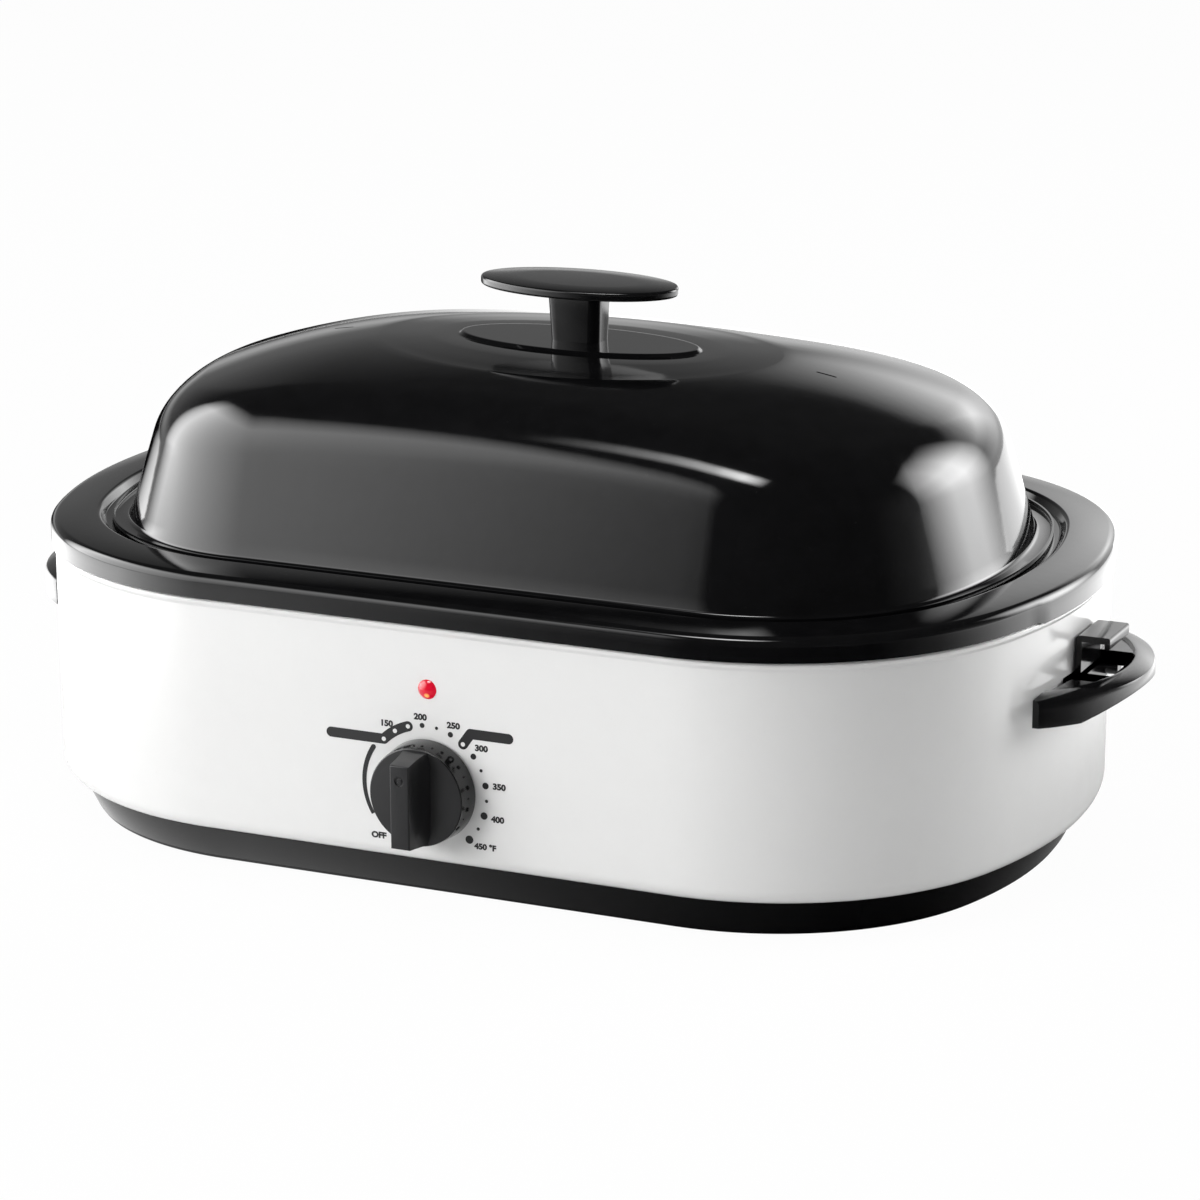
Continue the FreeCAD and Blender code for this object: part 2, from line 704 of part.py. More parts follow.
def base_screws():
    """Four screws up through the base's bosses into the shell's foot flange."""
    head_height = BASE_SCREW_HEAD[1]
    seat = BASE_BOTTOM + head_height + 1
    length = BASE_TOP + BASE_SCREW_PROUD - seat
    return Part.Compound([
        hexagon_screw(V(x, y, seat), Z_AXIS, BASE_SCREW_RADIUS, length, BASE_SCREW_HEAD)
        for x, y in corner_spots(BASE_SCREW_INSET, BASE_SCREW_ANGLE)
    ])


def base_nuts():
    """Four square nuts that clamp the shield and the shell's flange onto the base."""
    low = SHIELD_TOP
    half = NUT_HALF_WIDTH
    nuts = []
    for x, y in corner_spots(BASE_SCREW_INSET, BASE_SCREW_ANGLE):
        nut = block(x - half, x + half, y - half, y + half, low, low + NUT_HEIGHT)
        bore = rod(BASE_SCREW_RADIUS + RUNNING_GAP / 2, V(x, y, low - 1), V(x, y, low + 9))
        nuts.append(nut.cut(bore))
    return Part.Compound(nuts)


# ---------------------------------------------------------------- pan and rack

def roasting_pan():
    """Deep enamelled pan: skirt stepped out at the ends, wide rim, lid recess, tapered sides."""
    floor_z = PAN_FLOOR
    path = [
        (0, SKIRT_BOTTOM, 0),
        (0, RIM_TOP, RIM_EDGE_BEND),
        (RIM_WIDTH, RIM_TOP + RIM_CROWN, 2.6),
        (LEDGE_START, PAN_LEDGE, 1.4),
        (LEDGE_END, PAN_LEDGE, LEDGE_BEND),
        (LEDGE_END + PAN_TAPER, floor_z, PAN_CORNER),
        (CORE_INSET, floor_z, 0),
    ]
    ring = sweep(bent_sheet(path, PAN_SHEET))
    floor = prism(CORE_INSET, floor_z - PAN_SHEET, floor_z)
    step = sweep([
        (PAN_SHEET / 2, SKIRT_BOTTOM, 0),
        (-SKIRT_STEP, SKIRT_BOTTOM, 0),
        (-SKIRT_STEP, RIM_TOP - RIM_EDGE_BEND, 0),
        (RIM_EDGE_BEND * 0.3, RIM_TOP - RIM_EDGE_BEND * 0.3, 0),
        (PAN_SHEET / 2, RIM_TOP - RIM_EDGE_BEND, 0),
    ])
    half = SKIRT_STEP_HALF_WIDTH
    far = RIM_HALF_LENGTH + 5
    steps = [
        step.common(block(0, far, -half, half, SKIRT_BOTTOM, RIM_TOP)),
        step.common(block(-far, 0, -half, half, SKIRT_BOTTOM, RIM_TOP)),
    ]
    return ring.multiFuse([floor] + steps).removeSplitter()


def roasting_rack():
    """Rack: a bent flat frame on four legs, cross wires, and a lifting loop at each end."""
    top = PAN_FLOOR + RACK_HEIGHT
    low = top - RACK_FRAME_DEPTH
    inner = RACK_INSET + RACK_FRAME_THICKNESS
    frame = sweep([
        (RACK_INSET, low, 0),
        (RACK_INSET, top, 0),
        (inner, top, 0),
        (inner, low, 0),
    ])
    middle = RACK_INSET + RACK_FRAME_THICKNESS / 2
    wire_z = top - RACK_WIRE_RADIUS
    parts = []
    for i in range(RACK_WIRE_COUNT):
        x = (i - (RACK_WIRE_COUNT - 1) / 2) * RACK_WIRE_PITCH
        reach = half_width_at(abs(x), middle)
        parts.append(rod(RACK_WIRE_RADIUS, V(x, -reach, wire_z), V(x, reach, wire_z)))
    half = RIM_HALF_WIDTH - inner
    for x in (-RACK_LEG_X, RACK_LEG_X):
        for y in (-half, half):
            parts.append(rod(RACK_LOOP_RADIUS, V(x, y, PAN_FLOOR), V(x, y, top)))
    for side in (-1, 1):
        x = side * (RIM_HALF_LENGTH - RACK_INSET - END_BOW - RACK_LOOP_RADIUS)
        parts.append(rack_loop(x, low))
    return frame.multiFuse(parts).removeSplitter()


def half_width_at(x, inset):
    """Half width of the plan outline, moved inwards by inset, at distance x from the middle."""
    run = outline_joint()[1]
    if x <= run:
        return RIM_HALF_WIDTH - inset
    radius = CORNER_RADIUS - inset
    return RIM_HALF_WIDTH - CORNER_RADIUS + math.sqrt(radius ** 2 - (x - run) ** 2)


def rack_loop(x, low):
    """One upright lifting loop, an inverted U with mitred corners."""
    half = RACK_LOOP_HALF_WIDTH
    bend = RACK_LOOP_BEND
    top = low + RACK_LOOP_HEIGHT
    path = Part.makePolygon([
        V(x, -half, low),
        V(x, -half, top - bend),
        V(x, -half + bend * 0.3, top - bend * 0.3),
        V(x, -half + bend, top),
        V(x, half - bend, top),
        V(x, half - bend * 0.3, top - bend * 0.3),
        V(x, half, top - bend),
        V(x, half, low),
    ])
    ring = Part.Wire(Part.makeCircle(RACK_LOOP_RADIUS, V(x, -half, low), Z_AXIS))
    return path.makePipeShell([ring], True, False, 1)


# ---------------------------------------------------------------- lid

def crown(skin):
    """The space under the lid's crown, moved inwards by skin: long arcs turned across."""
    top = CROWN_TOP - skin
    flat = CROWN_FLAT_HALF
    end = RIM_HALF_LENGTH
    low = LID_SEAT - 60
    long_radius = CROWN_LONG_RADIUS - skin
    end_radius = CROWN_END_RADIUS - skin
    long_centre = top - long_radius
    slope = math.asin(flat / CROWN_LONG_RADIUS)
    flat_x = long_radius * math.sin(slope)
    flat_z = long_centre + long_radius * math.cos(slope)
    side_x = flat_x - end_radius * math.sin(slope)
    side_z = flat_z - end_radius * math.cos(slope)

    def on_side(x):
        return side_z + math.sqrt(end_radius ** 2 - (x - side_x) ** 2)

    mid_x = (flat_x + end) / 2
    right = Part.Arc(V(flat_x, 0, flat_z), V(mid_x, 0, on_side(mid_x)), V(end, 0, on_side(end)))
    left = Part.Arc(V(-end, 0, on_side(end)), V(-mid_x, 0, on_side(mid_x)), V(-flat_x, 0, flat_z))
    middle = Part.Arc(V(-flat_x, 0, flat_z), V(0, 0, top), V(flat_x, 0, flat_z))
    sides = [
        Part.makeLine(V(end, 0, on_side(end)), V(end, 0, low)),
        Part.makeLine(V(end, 0, low), V(-end, 0, low)),
        Part.makeLine(V(-end, 0, low), V(-end, 0, on_side(end))),
    ]
    wire = Part.Wire([left.toShape(), middle.toShape(), right.toShape()] + sides)
    face = Part.Face(wire)
    axis = V(0, 0, CROWN_TOP - CROWN_CROSS_RADIUS)
    swing = 30
    face.rotate(axis, X_AXIS, -swing)
    return face.revolve(axis, X_AXIS, 2 * swing)


def lid_form(skin):
    """The lid's full form above its join line, moved inwards by skin."""
    low = LID_SEAT + LID_JOIN
    high = CROWN_TOP + 5
    lean = math.tan(math.radians(LID_WALL_LEAN))
    shift = skin / math.cos(math.radians(LID_WALL_LEAN))
    start = LID_WALL_INSET + (LID_JOIN - LID_SHEET) * lean + shift
    wall = sweep([
        (start, low, 0),
        (start + (high - low) * lean, high, 0),
        (CORE_INSET, high, 0),
        (CORE_INSET, low, 0),
    ])
    form = wall.fuse(prism(CORE_INSET, low, high)).removeSplitter().common(crown(skin))
    form = form.removeSplitter()
    shoulder = []
    for edge in form.Edges:
        faces = form.ancestorsOfType(edge, Part.Face)
        lows = sorted(face.BoundBox.ZMin for face in faces)
        uprights = [f for f in faces if f.BoundBox.ZMin < low + 1 < f.BoundBox.ZMax]
        if len(uprights) == 1 and lows[-1] > low + 10:
            shoulder.append(edge)
    form = form.makeFillet(LID_SHOULDER - skin, shoulder)
    lid_top = PLATEAU - skin
    far = RIM_HALF_LENGTH
    return form.cut(block(-far, far, -far, far, lid_top, lid_top + 50))


def lid_pad(skin):
    """Raised oval pad under the handle, with sloped sides."""
    low = PLATEAU - skin - 1
    top = PAD_TOP - skin
    half_x = PAD_HALF_LENGTH - skin
    half_y = PAD_HALF_WIDTH - skin
    return oval_stack([(half_x + PAD_SLOPE, half_y + PAD_SLOPE, low), (half_x, half_y, top)])


def lid_shell():
    """Domed lid: lipped flange, leaning walls, soft shoulder, flat top with pad and vents."""
    lean = math.tan(math.radians(LID_WALL_LEAN))
    flange_top = LID_SEAT + LID_SHEET
    rise = 12.0
    path = [
        (LID_EDGE_INSET + LID_SHEET, flange_top + LID_LIP, 0),
        (LID_EDGE_INSET + LID_SHEET, flange_top, 0.6),
        (LID_WALL_INSET, flange_top, LID_FOOT_BEND),
        (LID_WALL_INSET + rise * lean, flange_top + rise, 0),
    ]
    ring = sweep(bent_sheet(path, LID_SHEET))
    far = RIM_HALF_LENGTH
    join = LID_SEAT + LID_JOIN
    ring = ring.cut(block(-far, far, -far, far, join, join + 2 * rise))
    dome = lid_form(0).fuse(lid_pad(0))
    hollow = lid_form(LID_SHEET).fuse(lid_pad(LID_SHEET))
    lid = dome.cut(hollow).fuse(ring).removeSplitter()
    cutters = [rod(LID_SCREW_RADIUS + SCREW_HOLE_GAP, V(0, 0, PLATEAU - 9), V(0, 0, PAD_TOP + 1))]
    for side in (-1, 1):
        cutter = slot(VENT_LENGTH, VENT_WIDTH, LID_SEAT, CROWN_TOP + 5)
        cutter.translate(V(side * VENT_X, 0, 0))
        cutters.append(cutter)
    return lid.cut(cutters)


def oval_wire(half_x, half_y, z):
    """A four-arc oval that touches the given half sizes, with the ends' radius from both."""
    end = half_y * half_y / half_x * OVAL_FULLNESS
    gap = half_x - end
    side = (gap * gap + half_y * half_y - end * end) / (2 * (half_y - end))
    lift = side - half_y
    lean = math.degrees(math.atan2(lift, gap))
    spots = [
        (V(gap, 0, z), end, -lean, lean),
        (V(0, -lift, z), side, lean, 180 - lean),
        (V(-gap, 0, z), end, 180 - lean, 180 + lean),
        (V(0, lift, z), side, 180 + lean, 360 - lean),
    ]
    return Part.Wire([Part.makeCircle(r, centre, Z_AXIS, a, b) for centre, r, a, b in spots])


def oval_stack(levels):
    """A solid through ovals at (half length, half width, z) levels, straight between them."""
    slabs = []
    for lower, upper in zip(levels, levels[1:]):
        slabs.append(Part.makeLoft([oval_wire(*lower), oval_wire(*upper)], True, True))
    return slabs[0].multiFuse(slabs[1:]).removeSplitter()


def lid_handle():
    """Oval grip plate on a tapered hollow stem with a screw boss."""
    low = PAD_TOP
    top = GRIP_BOTTOM + GRIP_THICKNESS
    foot = rounded_rectangle(STEM_FOOT_HALF[0], STEM_FOOT_HALF[1], STEM_CORNER, low)
    head = rounded_rectangle(STEM_TOP_HALF[0], STEM_TOP_HALF[1], STEM_CORNER, GRIP_BOTTOM + 1)
    stem = Part.makeLoft([foot, head], True, True)
    wall = STEM_WALL
    inner_foot = rounded_rectangle(
        STEM_FOOT_HALF[0] - wall, STEM_FOOT_HALF[1] - wall, STEM_CORNER - wall, low
    )
    inner_head = rounded_rectangle(
        STEM_TOP_HALF[0] - wall, STEM_TOP_HALF[1] - wall, STEM_CORNER - wall, GRIP_BOTTOM - wall
    )
    hollow = Part.makeLoft([inner_foot, inner_head], True, True)
    boss = rod(LID_SCREW_RADIUS + 2.6, V(0, 0, low), V(0, 0, GRIP_BOTTOM))
    long = GRIP_HALF_LENGTH
    wide = GRIP_HALF_WIDTH
    edge = GRIP_EDGE
    plate = oval_stack([
        (long - edge, wide - edge, GRIP_BOTTOM),
        (long, wide, GRIP_BOTTOM + edge),
        (long, wide, top - GRIP_DOME - edge),
        (long - edge, wide - edge, top - GRIP_DOME),
        (long * 0.6, wide * 0.6, top),
    ])
    handle = stem.cut(hollow).multiFuse([boss, plate]).removeSplitter()
    bore = rod(LID_SCREW_RADIUS + RUNNING_GAP / 2, V(0, 0, low - 1), V(0, 0, low + LID_SCREW_BITE + 1))
    return handle.cut(bore)


def lid_handle_washer():
    """Washer between the screw's head and the inside of the lid."""
    top = PAD_TOP - LID_SHEET
    washer = rod(WASHER_RADIUS, V(0, 0, top - WASHER_THICKNESS), V(0, 0, top))
    return washer.cut(rod(LID_SCREW_RADIUS + SCREW_HOLE_GAP, V(0, 0, top - 5), V(0, 0, top + 5)))


def lid_handle_screw():
    """Screw from inside the lid up into the handle's boss."""
    seat = PAD_TOP - LID_SHEET - WASHER_THICKNESS
    length = LID_SHEET + WASHER_THICKNESS + LID_SCREW_BITE
    return hexagon_screw(V(0, 0, seat), Z_AXIS, LID_SCREW_RADIUS, length, LID_SCREW_HEAD)


# ---------------------------------------------------------------- side handles

def handle_screw_spots():
    """Screw points on the shell's outer face with the way outwards, both ends of the body."""
    spots = []
    height = HANDLE_TOP - HANDLE_SCREW_DROP
    for angle in (-HANDLE_SCREW_ANGLE, HANDLE_SCREW_ANGLE):
        point, out = on_wall(angle, SHELL_WALL_INSET, height)
        spots.append((point, out))
        spots.append((V(-point.x, point.y, point.z), V(-out.x, out.y, 0)))
    return spots


def grip_section(low):
    """Cross-section of the grip: outer wall, sloped band, ridge and shelf plate."""
    arc = HANDLE_ARC_RADIUS
    top = HANDLE_TOP
    ridge = top + HANDLE_RIDGE_RISE
    inside = arc * 0.4
    ridge_out = arc - HANDLE_BAND
    ridge_in = ridge_out - HANDLE_RIDGE_WIDTH
    return Part.Face(Part.makePolygon([
        V(arc, 0, low),
        V(arc, 0, top - 1),
        V(arc - 1, 0, top),
        V(ridge_out, 0, ridge),
        V(ridge_in, 0, ridge),
        V(ridge_in - HANDLE_RIDGE_RISE / 2, 0, top),
        V(inside, 0, top),
        V(inside, 0, top - HANDLE_PLATE),
        V(arc - HANDLE_WALL, 0, top - HANDLE_PLATE),
        V(arc - HANDLE_WALL, 0, low),
        V(arc, 0, low),
    ]))


def grip_plan(low, height):
    """Block that trims the grip: open towards the wall outside the foot, cut off at the tips."""
    wall_x = WALL_HALF_LENGTH
    tip = wall_x - HANDLE_TIP_STANDOFF
    edge = wall_x + SHELF_EDGE_PROUD
    half = HANDLE_HALF_LENGTH
    foot = FOOT_PLATE_HALF
    far = wall_x + 60
    points = [
        V(tip, -half, low), V(far, -half, low), V(far, half, low), V(tip, half, low),
        V(edge, foot, low), V(wall_x - 12, foot, low), V(wall_x - 12, -foot, low),
        V(edge, -foot, low), V(tip, -half, low),
    ]
    return Part.Face(Part.makePolygon(points)).extrude(V(0, 0, height))


def side_handle():
    """Right-hand handle: arched grip shelf with a window, wall strip, and a lid-rest clip."""
    top = HANDLE_TOP
    arc = HANDLE_ARC_RADIUS
    centre_x = RIM_HALF_LENGTH + HANDLE_REACH - arc
    wall_x = WALL_HALF_LENGTH
    low = top - HANDLE_TIP_DEPTH
    face = grip_section(low)
    swing = math.degrees(math.asin(HANDLE_HALF_LENGTH / arc)) + 4
    face.translate(V(centre_x, 0, 0))
    axis = V(centre_x, 0, 0)
    face.rotate(axis, Z_AXIS, -swing)
    grip = face.revolve(axis, Z_AXIS, 2 * swing)
    grip = grip.common(grip_plan(low - 1, HANDLE_TIP_DEPTH + 5))
    arch_radius = (HANDLE_ARCH_HALF ** 2 + HANDLE_ARCH_RISE ** 2) / (2 * HANDLE_ARCH_RISE)
    arch_z = low + HANDLE_ARCH_RISE - arch_radius
    arch = rod(arch_radius, V(wall_x - 20, 0, arch_z), V(wall_x + 60, 0, arch_z))
    grip = grip.cut(arch)
    foot_low = top - FOOT_PLATE_DEPTH
    plate_x = wall_x + FOOT_PLATE_THICKNESS
    foot = block(wall_x - 12, plate_x, -FOOT_PLATE_HALF, FOOT_PLATE_HALF, foot_low, top)
    strip_inset = SHELL_WALL_INSET - STRIP_THICKNESS
    strip = prism(strip_inset, foot_low, top - STRIP_DROP, SHELL_STRETCH)
    strip = strip.common(block(0, wall_x + 20, -STRIP_HALF, STRIP_HALF, foot_low, top))
    bosses = []
    holes = []
    for point, out in handle_screw_spots():
        if point.x < 0:
            continue
        tip = point + out * (HANDLE_SCREW_BITE + 3)
        bosses.append(rod(HANDLE_SCREW_RADIUS + 2.8, point - out * 2, tip))
        holes.append(rod(HANDLE_SCREW_RADIUS, point - out * 5, point + out * (HANDLE_SCREW_BITE + 1)))
    handle = grip.multiFuse([foot, strip] + bosses + [lid_clip()])
    window = block(plate_x, plate_x + WINDOW_DEPTH, -WINDOW_HALF, WINDOW_HALF, low - 1, top + 1)
    body = prism(SHELL_WALL_INSET, low - 5, top + CLIP_RISE + 5, SHELL_STRETCH)
    return handle.cut([window, body] + holes).removeSplitter()


def lid_clip():
    """Bent tab over the grip, where the lid's edge can stand: leg, top plate and lip."""
    wall_x = WALL_HALF_LENGTH
    top = HANDLE_TOP + CLIP_RISE
    reach = wall_x + CLIP_REACH
    leg = wall_x + CLIP_LEG
    outline = Part.makePolygon([
        V(wall_x - 6, 0, HANDLE_TOP - 1),
        V(wall_x - 6, 0, top),
        V(reach, 0, top),
        V(reach, 0, top - CLIP_LIP + 1.5),
        V(reach - 1, 0, top - CLIP_LIP),
        V(reach - CLIP_LIP_THICKNESS, 0, top - CLIP_LIP + 0.6),
        V(reach - CLIP_LIP_THICKNESS, 0, top - CLIP_PLATE),
        V(leg, 0, top - CLIP_PLATE),
        V(leg, 0, HANDLE_TOP - 1),
        V(wall_x - 6, 0, HANDLE_TOP - 1),
    ])
    face = Part.Face(Part.Wire(outline))
    face.translate(V(0, -WINDOW_HALF, 0))
    clip = face.extrude(V(0, 2 * WINDOW_HALF, 0))
    corner = []
    for e in clip.Edges:
        middle = e.CenterOfMass
        if abs(middle.x - reach) < 0.1 and abs(middle.z - top) < 0.1:
            corner.append(e)
    return clip.makeFillet(1.2, corner)


def handle_screws():
    """Two screws for each side handle, from inside the shell into the handle's bosses."""
    solids = []
    for point, out in handle_screw_spots():
        seat = point - out * (SHELL_SHEET + RUNNING_GAP)
        length = SHELL_SHEET + HANDLE_SCREW_BITE
        solids.append(hexagon_screw(seat, out, HANDLE_SCREW_RADIUS - RUNNING_GAP, length, HANDLE_SCREW_HEAD))
    return Part.Compound(solids)


def turned_round(shape):
    """A copy turned half a turn about the body's middle."""
    copy = shape.copy()
    copy.rotate(V(0, 0, 0), Z_AXIS, 180)
    return copy


# ---------------------------------------------------------------- controls

def dial_screw_spots(reach):
    """The two thermostat screws, reach outwards from the shell's face."""
    return [
        V(side * DIAL_SCREW_OFFSET, -WALL_HALF_WIDTH - reach, KNOB_HEIGHT)
        for side in (-1, 1)
    ]


def thermostat():
    """Switch housing on a bracket behind the front wall, with a bush through it."""
    inner = -INNER_HALF_WIDTH
    height = KNOB_HEIGHT
    plate = block(
        -BRACKET_HALF_WIDTH, BRACKET_HALF_WIDTH, inner, inner + BRACKET_SHEET,
        height - THERMOSTAT_HALF_HEIGHT * 0.6, height + THERMOSTAT_HALF_HEIGHT * 0.6,
    )
    w = THERMOSTAT_HALF_WIDTH
    h = THERMOSTAT_HALF_HEIGHT
    back = inner + BRACKET_SHEET + THERMOSTAT_DEPTH
    housing = block(-w * 0.5, w * 0.5, inner + BRACKET_SHEET, back, height - h, height + h)
    stack = block(-w, w, back - 9, back - 3, height - 5, height + 5)
    bush = rod(BUSH_RADIUS, front_point(height, BUSH_PROUD), V(0, inner + BRACKET_SHEET + 1, height))
    body = plate.multiFuse([housing, stack, bush]).removeSplitter()
    bore_end = front_point(height, -SHAFT_TAIL - SLIP_GAP)
    cutters = [rod(SHAFT_RADIUS + RUNNING_GAP, front_point(height, SHAFT_TAIL), bore_end)]
    for point in dial_screw_spots(0):
        cutters.append(rod(DIAL_SCREW_RADIUS, point, point + Y_AXIS * 9))
    return body.cut(cutters)


def dial_screws():
    """Two screws through the shell into the thermostat's bracket, hidden by the knob."""
    return Part.Compound([
        hexagon_screw(
            point, Y_AXIS, DIAL_SCREW_RADIUS - RUNNING_GAP / 2, DIAL_SCREW_LENGTH, DIAL_SCREW_HEAD
        )
        for point in dial_screw_spots(0)
    ])


def thermostat_shaft():
    """Flatted shaft from the switch to the knob."""
    start = front_point(KNOB_HEIGHT, -SHAFT_TAIL)
    end = front_point(KNOB_HEIGHT, SHAFT_BITE)
    shaft = rod(SHAFT_RADIUS, start, end)
    flat = block(
        -10, 10, end.y - 1, -WALL_HALF_WIDTH - BUSH_PROUD - 1,
        KNOB_HEIGHT + SHAFT_FLAT, KNOB_HEIGHT + SHAFT_FLAT + 5,
    )
    return shaft.cut(flat)


def control_knob():
    """Skirted knob with a tapered finger grip across its face and a pointer dimple."""
    face_reach = KNOB_FACE_REACH
    profile = Part.makePolygon([
        V(0, 0, face_reach),
        V(KNOB_FACE_RADIUS - 0.5, 0, face_reach),
        V(KNOB_FACE_RADIUS, 0, face_reach - 0.5),
        V(KNOB_SKIRT_RADIUS, 0, KNOB_GAP),
        V(KNOB_SKIRT_RADIUS - KNOB_WALL, 0, KNOB_GAP),
        V(KNOB_FACE_RADIUS - KNOB_WALL, 0, face_reach - KNOB_WALL),
        V(KNOB_BOSS_RADIUS, 0, face_reach - KNOB_WALL),
        V(KNOB_BOSS_RADIUS, 0, BUSH_PROUD + 1),
        V(0, 0, BUSH_PROUD + 1),
        V(0, 0, face_reach),
    ])
    disc = Part.Face(Part.Wire(profile)).revolve(V(0, 0, 0), Z_AXIS, 360)
    tip = KNOB_GRIP_HALF
    root = KNOB_GRIP_ROOT_HALF
    front = KNOB_REACH
    sink = face_reach - KNOB_WALL / 2
    waist_z = face_reach + (front - face_reach) * 0.35
    waist = tip + (root - tip) * 0.22
    right = Part.Arc(V(root, 0, sink), V(waist, 0, waist_z), V(tip, 0, front)).toShape()
    left = Part.Arc(V(-tip, 0, front), V(-waist, 0, waist_z), V(-root, 0, sink)).toShape()
    section = Part.Wire([
        right,
        Part.makeLine(V(tip, 0, front), V(-tip, 0, front)),
        left,
        Part.makeLine(V(-root, 0, sink), V(root, 0, sink)),
    ])
    bar = Part.Face(section)
    bar.translate(V(0, -KNOB_FACE_RADIUS, 0))
    bar = bar.extrude(V(0, 2 * KNOB_FACE_RADIUS, 0))
    end = KNOB_GRIP_END
    foot = math.sqrt(KNOB_FACE_RADIUS ** 2 - root ** 2)
    side = Part.Face(Part.Wire(Part.makePolygon([
        V(0, -foot, sink), V(0, foot, sink), V(0, end, front), V(0, -end, front), V(0, -foot, sink),
    ])))
    side.translate(V(-root - 1, 0, 0))
    bar = bar.common(side.extrude(V(2 * root + 2, 0, 0)))
    tops = [e for e in bar.Edges if e.BoundBox.ZMin > front - 0.01]
    bar = bar.makeFillet(0.7, tops)
    bore = rod(SHAFT_RADIUS + RUNNING_GAP / 2, V(0, 0, 0), V(0, 0, SHAFT_BITE + 0.5))
    flat = block(-10, 10, SHAFT_FLAT + RUNNING_GAP / 2, 10, 0, SHAFT_BITE + 1)
    bore = bore.cut(flat)
    dimple = rod(
        KNOB_DIMPLE_RADIUS, V(0, KNOB_DIMPLE_UP, front - KNOB_DIMPLE_DEPTH), V(0, KNOB_DIMPLE_UP, front + 1)
    )
    knob = disc.fuse(bar).removeSplitter().cut([bore, dimple])
    knob.rotate(V(0, 0, 0), X_AXIS, 90)
    knob.translate(V(0, -WALL_HALF_WIDTH, KNOB_HEIGHT))
    return knob


def lamp_lens():
    """Red domed lens with a barrel through the front wall."""
    radius = LAMP_DOME_RADIUS
    rise = LAMP_DOME_RISE
    sphere = (radius ** 2 + rise ** 2) / (2 * rise)
    dome = Part.makeSphere(sphere, front_point(LAMP_HEIGHT, rise - sphere))
    cap = dome.common(rod(radius, front_point(LAMP_HEIGHT, 0), front_point(LAMP_HEIGHT, rise + 1)))
    barrel = rod(
        LAMP_BARREL_RADIUS, front_point(LAMP_HEIGHT, 0.5), front_point(LAMP_HEIGHT, -LAMP_BARREL_LENGTH)
    )
    bore = rod(
        LAMP_BARREL_RADIUS - LAMP_WALL, front_point(LAMP_HEIGHT, -0.4),
        front_point(LAMP_HEIGHT, -LAMP_BARREL_LENGTH - 1),
    )
    return cap.fuse(barrel).removeSplitter().cut(bore)


def neon_lamp():
    """Small glass lamp that sits in the lens's barrel."""
    bulb = rod(NEON_RADIUS, front_point(LAMP_HEIGHT, -1), front_point(LAMP_HEIGHT, -NEON_LENGTH))
    collar = rod(
        LAMP_BARREL_RADIUS - LAMP_WALL, front_point(LAMP_HEIGHT, -5), front_point(LAMP_HEIGHT, -8)
    )
    return bulb.fuse(collar).removeSplitter()


def lamp_retainer():
    """Spring washer that holds the lens's barrel against the shell's inner face."""
    inner = -INNER_HALF_WIDTH
    start = V(0, inner, LAMP_HEIGHT)
    ring = rod(RETAINER_RADIUS, start, start + Y_AXIS * RETAINER_SHEET)
    return ring.cut(rod(LAMP_BARREL_RADIUS, start - Y_AXIS, start + Y_AXIS * 5))


def cord_gland():
    """Rubber gland in the rear wall, grooved over the sheet and bored for a cord."""
    outer = V(GLAND_X, WALL_HALF_WIDTH, GLAND_HEIGHT)
    inner = V(GLAND_X, INNER_HALF_WIDTH, GLAND_HEIGHT)
    nose = Part.makeCone(GLAND_FLANGE_RADIUS, GLAND_RADIUS, GLAND_PROUD, outer, Y_AXIS)
    neck = rod(GLAND_RADIUS, inner, outer)
    tail = Part.makeCone(
        GLAND_FLANGE_RADIUS - 1, GLAND_RADIUS - 1, GLAND_TAIL, inner, V(0, -1, 0)
    )
    body = nose.multiFuse([neck, tail]).removeSplitter()
    return body.cut(rod(GLAND_BORE, inner - Y_AXIS * 20, outer + Y_AXIS * 20))


def terminal_block():
    """Ceramic connector block on the heat shield beside the gland."""
    back = INNER_HALF_WIDTH - GLAND_TAIL - TERMINAL_GAP
    half = TERMINAL_LENGTH / 2
    top = SHIELD_TOP + TERMINAL_HEIGHT
    body = block(GLAND_X - half, GLAND_X + half, back - TERMINAL_WIDTH, back, SHIELD_TOP, top)
    tops = [e for e in body.Edges if e.BoundBox.ZMin > top - 0.01]
    body = body.makeChamfer(1, tops)
    ports = []
    for side in (-1, 1):
        x = GLAND_X + side * half / 2
        ports.append(rod(TERMINAL_PORT_RADIUS, V(x, back - TERMINAL_WIDTH, top - TERMINAL_HEIGHT / 2),
                         V(x, back, top - TERMINAL_HEIGHT / 2)))
    return body.cut(ports)


# ---------------------------------------------------------------- writing

PIECES = {
    "outer_shell": outer_shell,
    "rear_panel": rear_panel,
    "heat_well": heat_well,
    "heating_band": heating_band,
    "band_bolts": band_bolts,
    "insulation": insulation,
    "heat_shield": heat_shield,
    "base_pan": base_pan,
    "feet": feet,
    "base_screws": base_screws,
    "base_nuts": base_nuts,
    "roasting_pan": roasting_pan,
    "roasting_rack": roasting_rack,
    "lid_shell": lid_shell,
    "lid_handle": lid_handle,
    "lid_handle_washer": lid_handle_washer,
    "lid_handle_screw": lid_handle_screw,
    "handle_right": side_handle,
    "handle_left": lambda: turned_round(side_handle()),
    "handle_screws": handle_screws,
    "thermostat": thermostat,
    "dial_screws": dial_screws,
    "thermostat_shaft": thermostat_shaft,
    "control_knob": control_knob,
    "lamp_lens": lamp_lens,
    "neon_lamp": neon_lamp,
    "lamp_retainer": lamp_retainer,
    "cord_gland": cord_gland,
    "terminal_block": terminal_block,
}

os.makedirs("parts", exist_ok=True)
for name, make in PIECES.items():
    shape = make()
    shape.translate(FRAME_SHIFT)
    shape.exportStep("parts/" + name + ".step")
    print(name, len(shape.Solids), "solids", round(shape.Volume), shape.isValid())
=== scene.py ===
import logging
import math
from dataclasses import dataclass, field
from enum import Enum
from typing import Callable, Iterable, Sequence

